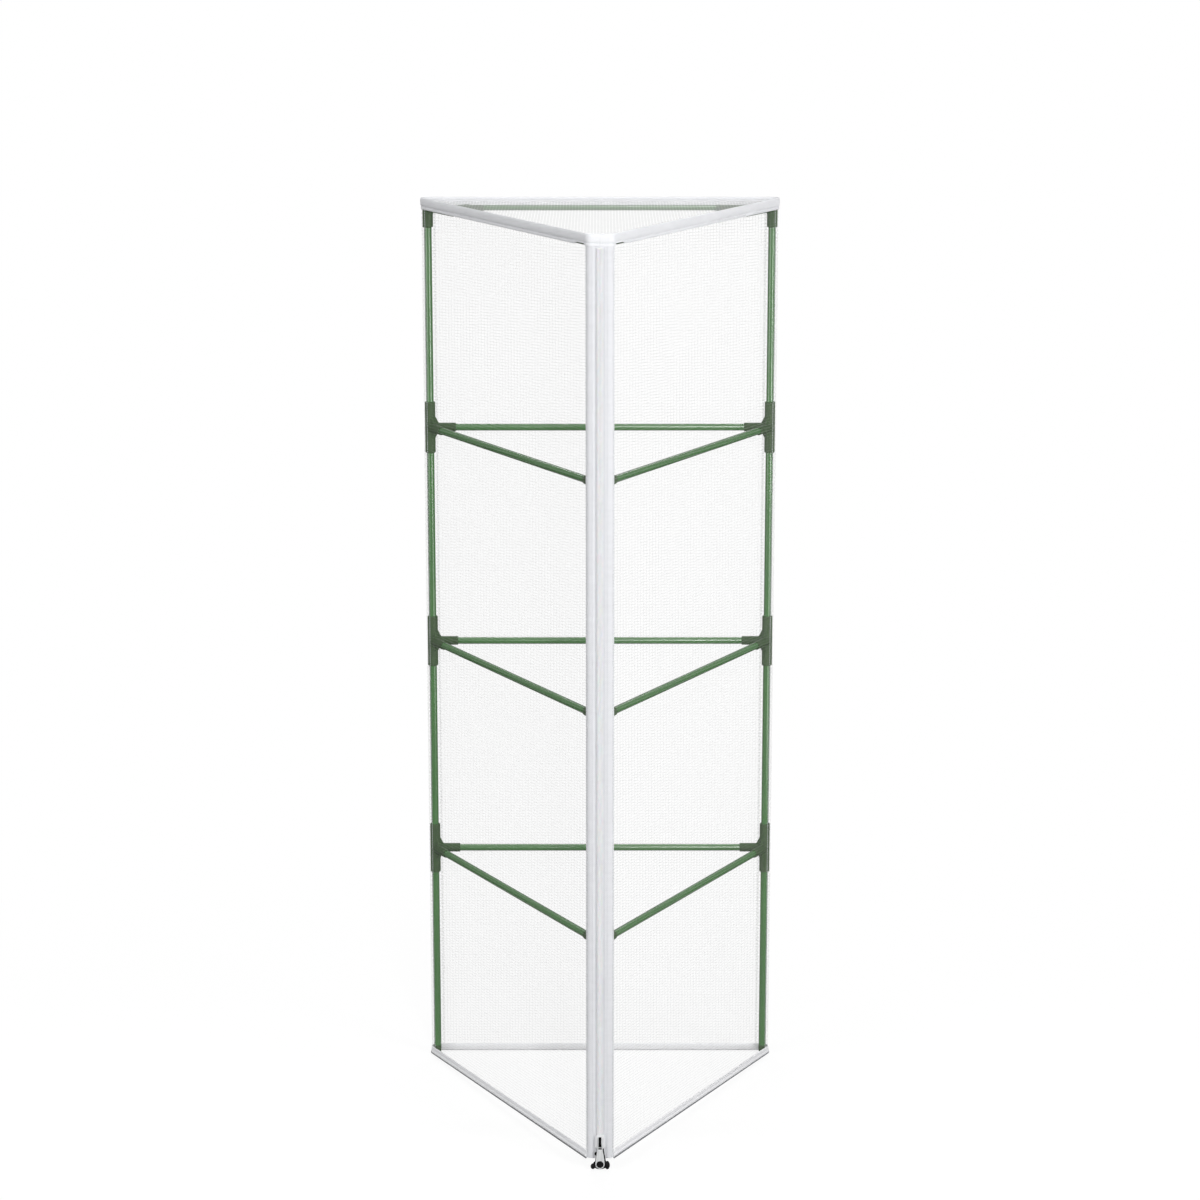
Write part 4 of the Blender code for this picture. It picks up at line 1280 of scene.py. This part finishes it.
def bent_strip():
    """A strip with rounded edges along the bridge's line, round the pivot."""
    bm = bmesh.new()
    line = [Vector((0, y * MM, z * MM)) for y, z, _ in BRIDGE_LINE]
    rows = []
    for k, (spot, (_, _, half)) in enumerate(zip(line, BRIDGE_LINE)):
        before, after = line[max(k - 1, 0)], line[min(k + 1, len(line) - 1)]
        out = (after - before).normalized().cross(Vector((1, 0, 0)))
        row = []
        for j in range(STRIP_SIDES):
            angle = 2 * math.pi * (j + 0.5) / STRIP_SIDES
            x, y = math.cos(angle), math.sin(angle)
            x = math.copysign(abs(x) ** STRIP_ROUND, x) * half * MM
            y = math.copysign(abs(y) ** STRIP_ROUND, y) * STRIP / 2 * MM
            row.append(bm.verts.new(pivot + spot + Vector((x, 0, 0)) + out * y))
        rows.append(row)
    for one, two in zip(rows, rows[1:]):
        for j in range(STRIP_SIDES):
            n = (j + 1) % STRIP_SIDES
            bm.faces.new((one[j], one[n], two[n], two[j]))
    bm.faces.new(rows[0])
    bm.faces.new(rows[-1][::-1])
    bmesh.ops.recalc_face_normals(bm, faces=bm.faces)
    return shaded(meshed(bm), 50)


bridge = bent_strip()
hand_over("painted_bridge", bridge, black_paint, "bridge_metal", "zip_bridge", body="slider")
print("bridge", len(bridge.polygons), "faces")

# %% [markdown]
# ## The pull tab
#
# The tab is stamped from steel sheet, tumbled and lacquered silver: a narrow top with a window
# that the bridge passes through, a flared body and a round end with an eye. A flat curve with
# inner loops keeps its holes and rounds every edge at once, which is just what stamping and
# tumbling do. Lacquer over a tumbled surface is bright but not a mirror, with faint short
# scratches.

# %% Silver lacquer
lacquer = speckled(
    "silver_lacquer_on_steel",
    colour=(1.6, "#cccecf", "#eeefef", (1, 1, 0.1)),
    rough=(1.1, 0.22, 0.42),
    grain=(0.5, 0.03, 0.35, (1, 1, 0.12)),
    Metallic=0.15,
    IOR=1.5,
)

# %% The tab
TAB_THICKNESS, TAB_EDGE = 1.2 * MM, 0.28 * MM
TAB_TOP, TAB_LENGTH, TAB_END = 3.4, 33.0, 6.0  # half width, length, radius of the round end
FLARE_TOP, FLARE_LENGTH, FLARE_STEPS = -4.0, 21.5, 9
EYE_HEIGHT, EYE_RADIUS = -(TAB_LENGTH - 6.25), 4.7
WINDOW = [(2.3, -0.6), (2.3, -5.9), (-2.3, -5.9), (-2.3, -0.6)]


def tab_edge():
    """The tab's edge in millimetres round the pivot: it flares softly into its round end."""
    side = [(TAB_TOP - 0.5, 0.6), (TAB_TOP, 0.2), (TAB_TOP, FLARE_TOP)]
    for k in range(1, FLARE_STEPS):
        share = k / FLARE_STEPS
        flare = share * share * (3 - 2 * share)
        half = TAB_TOP + (TAB_END - TAB_TOP) * (0.45 * share + 0.55 * flare)
        side.append((half, FLARE_TOP - FLARE_LENGTH * share))
    arc = [math.radians(4 - 94 * k / 14) for k in range(15)]  # from its side to its lowest point
    side += [(TAB_END * math.cos(a), EYE_HEIGHT + TAB_END * math.sin(a)) for a in arc]
    return side + [(-x, z) for x, z in side[-2::-1]]


def stamped(loops, thickness, rounding, place):
    """Sheet metal cut along closed loops, inner loops as holes, with rounded edges."""
    flat = bpy.data.curves.new("flat", "CURVE")
    flat.dimensions, flat.fill_mode = "2D", "BOTH"
    flat.extrude = thickness / 2 - rounding
    flat.bevel_depth, flat.offset = rounding, -rounding
    flat.bevel_resolution = 2
    for loop in loops:
        spline = flat.splines.new("POLY")
        spline.points.add(len(loop) - 1)
        for point, (x, z) in zip(spline.points, loop):
            point.co = (x * MM, z * MM, 0, 1)
        spline.use_cyclic_u = True
    mesh = settled(bpy.data.objects.new("holder", flat))
    mesh.transform(place @ Matrix.Rotation(math.radians(90), 4, "X"))
    bm = bmesh.new()
    bm.from_mesh(mesh)
    bmesh.ops.remove_doubles(bm, verts=bm.verts, dist=0.01 * MM)
    bmesh.ops.recalc_face_normals(bm, faces=bm.faces)
    return shaded(meshed(bm), 35)


def oval(half_width, half_height):
    turns = [2 * math.pi * k / 32 for k in range(32)]
    return [(half_width * math.cos(a), half_height * math.sin(a)) for a in turns]


eye = [(x, EYE_HEIGHT + z) for x, z in oval(EYE_RADIUS, EYE_RADIUS)]
tab = stamped([tab_edge(), WINDOW, eye], TAB_THICKNESS, TAB_EDGE, Matrix.Translation(pivot))
hand_over("stamped_pull_tab", tab, lacquer, "pull_metal", "zip_pull", body="pull")
print("tab", len(tab.polygons), "faces")

# %% [markdown]
# ## The grip
#
# A black rubber grip is moulded through the eye: a pad behind the tab, a plug that fills the eye
# and a soft lump on each side, which fingers find in the dark. The same rubber also makes painted
# shade: a strip up behind the tab that shows as a dark line of shade past its right edge, a nub
# on its left for a small shadow there, and a little that fills the foot of the window. Rubber
# from a plain mould is dull, with a dry bloom on it, so it is rough and hardly reflects.

# %% Rubber
rubber = speckled(
    "moulded_rubber",
    colour=(2.5, "#0b0b0c", "#161617"),
    rough=(1.0, 0.6, 0.8),
    grain=(0.5, 0.05, 0.5),
    IOR=1.52,
    Specular_IOR_Level=0.15,
)

# %% The grip
RUBBER_VOXEL = 0.25 * MM
PAD_HALF_WIDTH, PAD_HALF_HEIGHT, PAD_DROP = 9.5 * MM, 6.1 * MM, 0.9 * MM
PLUG_RADIUS = (EYE_RADIUS - 0.15) * MM
# side, width, height and drop below the eye's centre, in millimetres
LUMPS = [(-1, 6.2, 7.6, 2.4), (1, 6.8, 11.6, 0.8)]
# painted shade: black rubber behind the tab that shows as a dark line past its right edge
SHADE_STRIP_BEHIND_TAB = [
    (4.7, -5.3), (5.2, -9), (6.0, -14), (7.2, -20), (7.9, -24),
    (-6.8, -24), (-5.4, -17), (-4.5, -11), (-4.1, -5.3),
]
# painted shade: black rubber in the foot of the window
WINDOW_SHADE_FILLER = [(2.2, -4.7), (2.2, -5.9), (-2.2, -5.9), (-2.2, -4.7)]
# painted shadow: a small dark nub left of the tab
SHADOW_NUB = [(-3.0, -9.5), (-6.2, -10.4), (-7.2, -12.2), (-6.4, -14.2), (-3.0, -14.8)]

grip_low, grip_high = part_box("zip_grip")
tab_front_y, tab_back_y = pivot.y - TAB_THICKNESS / 2, pivot.y + TAB_THICKNESS / 2
eye_spot = Vector((0, 0, EYE_HEIGHT * MM))
eye_z = pivot.z + eye_spot.z
bm = bmesh.new()
pad = oval(PAD_HALF_WIDTH, PAD_HALF_HEIGHT)
layer(bm, pad, tab_back_y + 0.2 * MM, grip_high.y, eye_z - PAD_DROP)
plug = oval(PLUG_RADIUS, PLUG_RADIUS)
layer(bm, plug, tab_front_y - 0.3 * MM, tab_back_y + 0.6 * MM, eye_z)
# the filler, the strip and the nub are painted shade, in the grip's black rubber
layer(bm, in_metres(WINDOW_SHADE_FILLER), tab_front_y, tab_back_y + 0.4 * MM, pivot.z)
for outline in (SHADE_STRIP_BEHIND_TAB, SHADOW_NUB):
    layer(bm, in_metres(outline), tab_back_y + 0.15 * MM, tab_back_y + 1.5 * MM, pivot.z)
for side, width, height, drop in LUMPS:
    centre = pivot + eye_spot + Vector((side * (TAB_END + width / 2) * MM, 0, -drop * MM))
    centre.y = (grip_low.y + grip_high.y) / 2
    size = Vector((width * MM / 2, (grip_high.y - grip_low.y) / 2, height * MM / 2))
    place = Matrix.Translation(centre) @ Matrix.Diagonal((*size, 1.0))
    bmesh.ops.create_uvsphere(bm, u_segments=24, v_segments=14, radius=1.0, matrix=place)
grip = melted(bm, RUBBER_VOXEL)
hand_over("moulded_grip", grip, rubber, "grip_rubber", "zip_grip", body="pull")
print("grip", len(grip.polygons), "faces")

# %% [markdown]
# ## Each wall's trimmings
#
# For each wall, its span along the belt and the trimmings that are sewn to it are gathered. The
# walls are stretched between the top binding and the hem.

for side, sheet in walls.items():
    first, last = wall_spans[side]
    trimmings = [pipings[side], hems[side], stitches[side], hem_shadow_lines[side]]
    if side in tapes:
        trimmings += [tapes[side], seams[side], seam_stitches[side]]
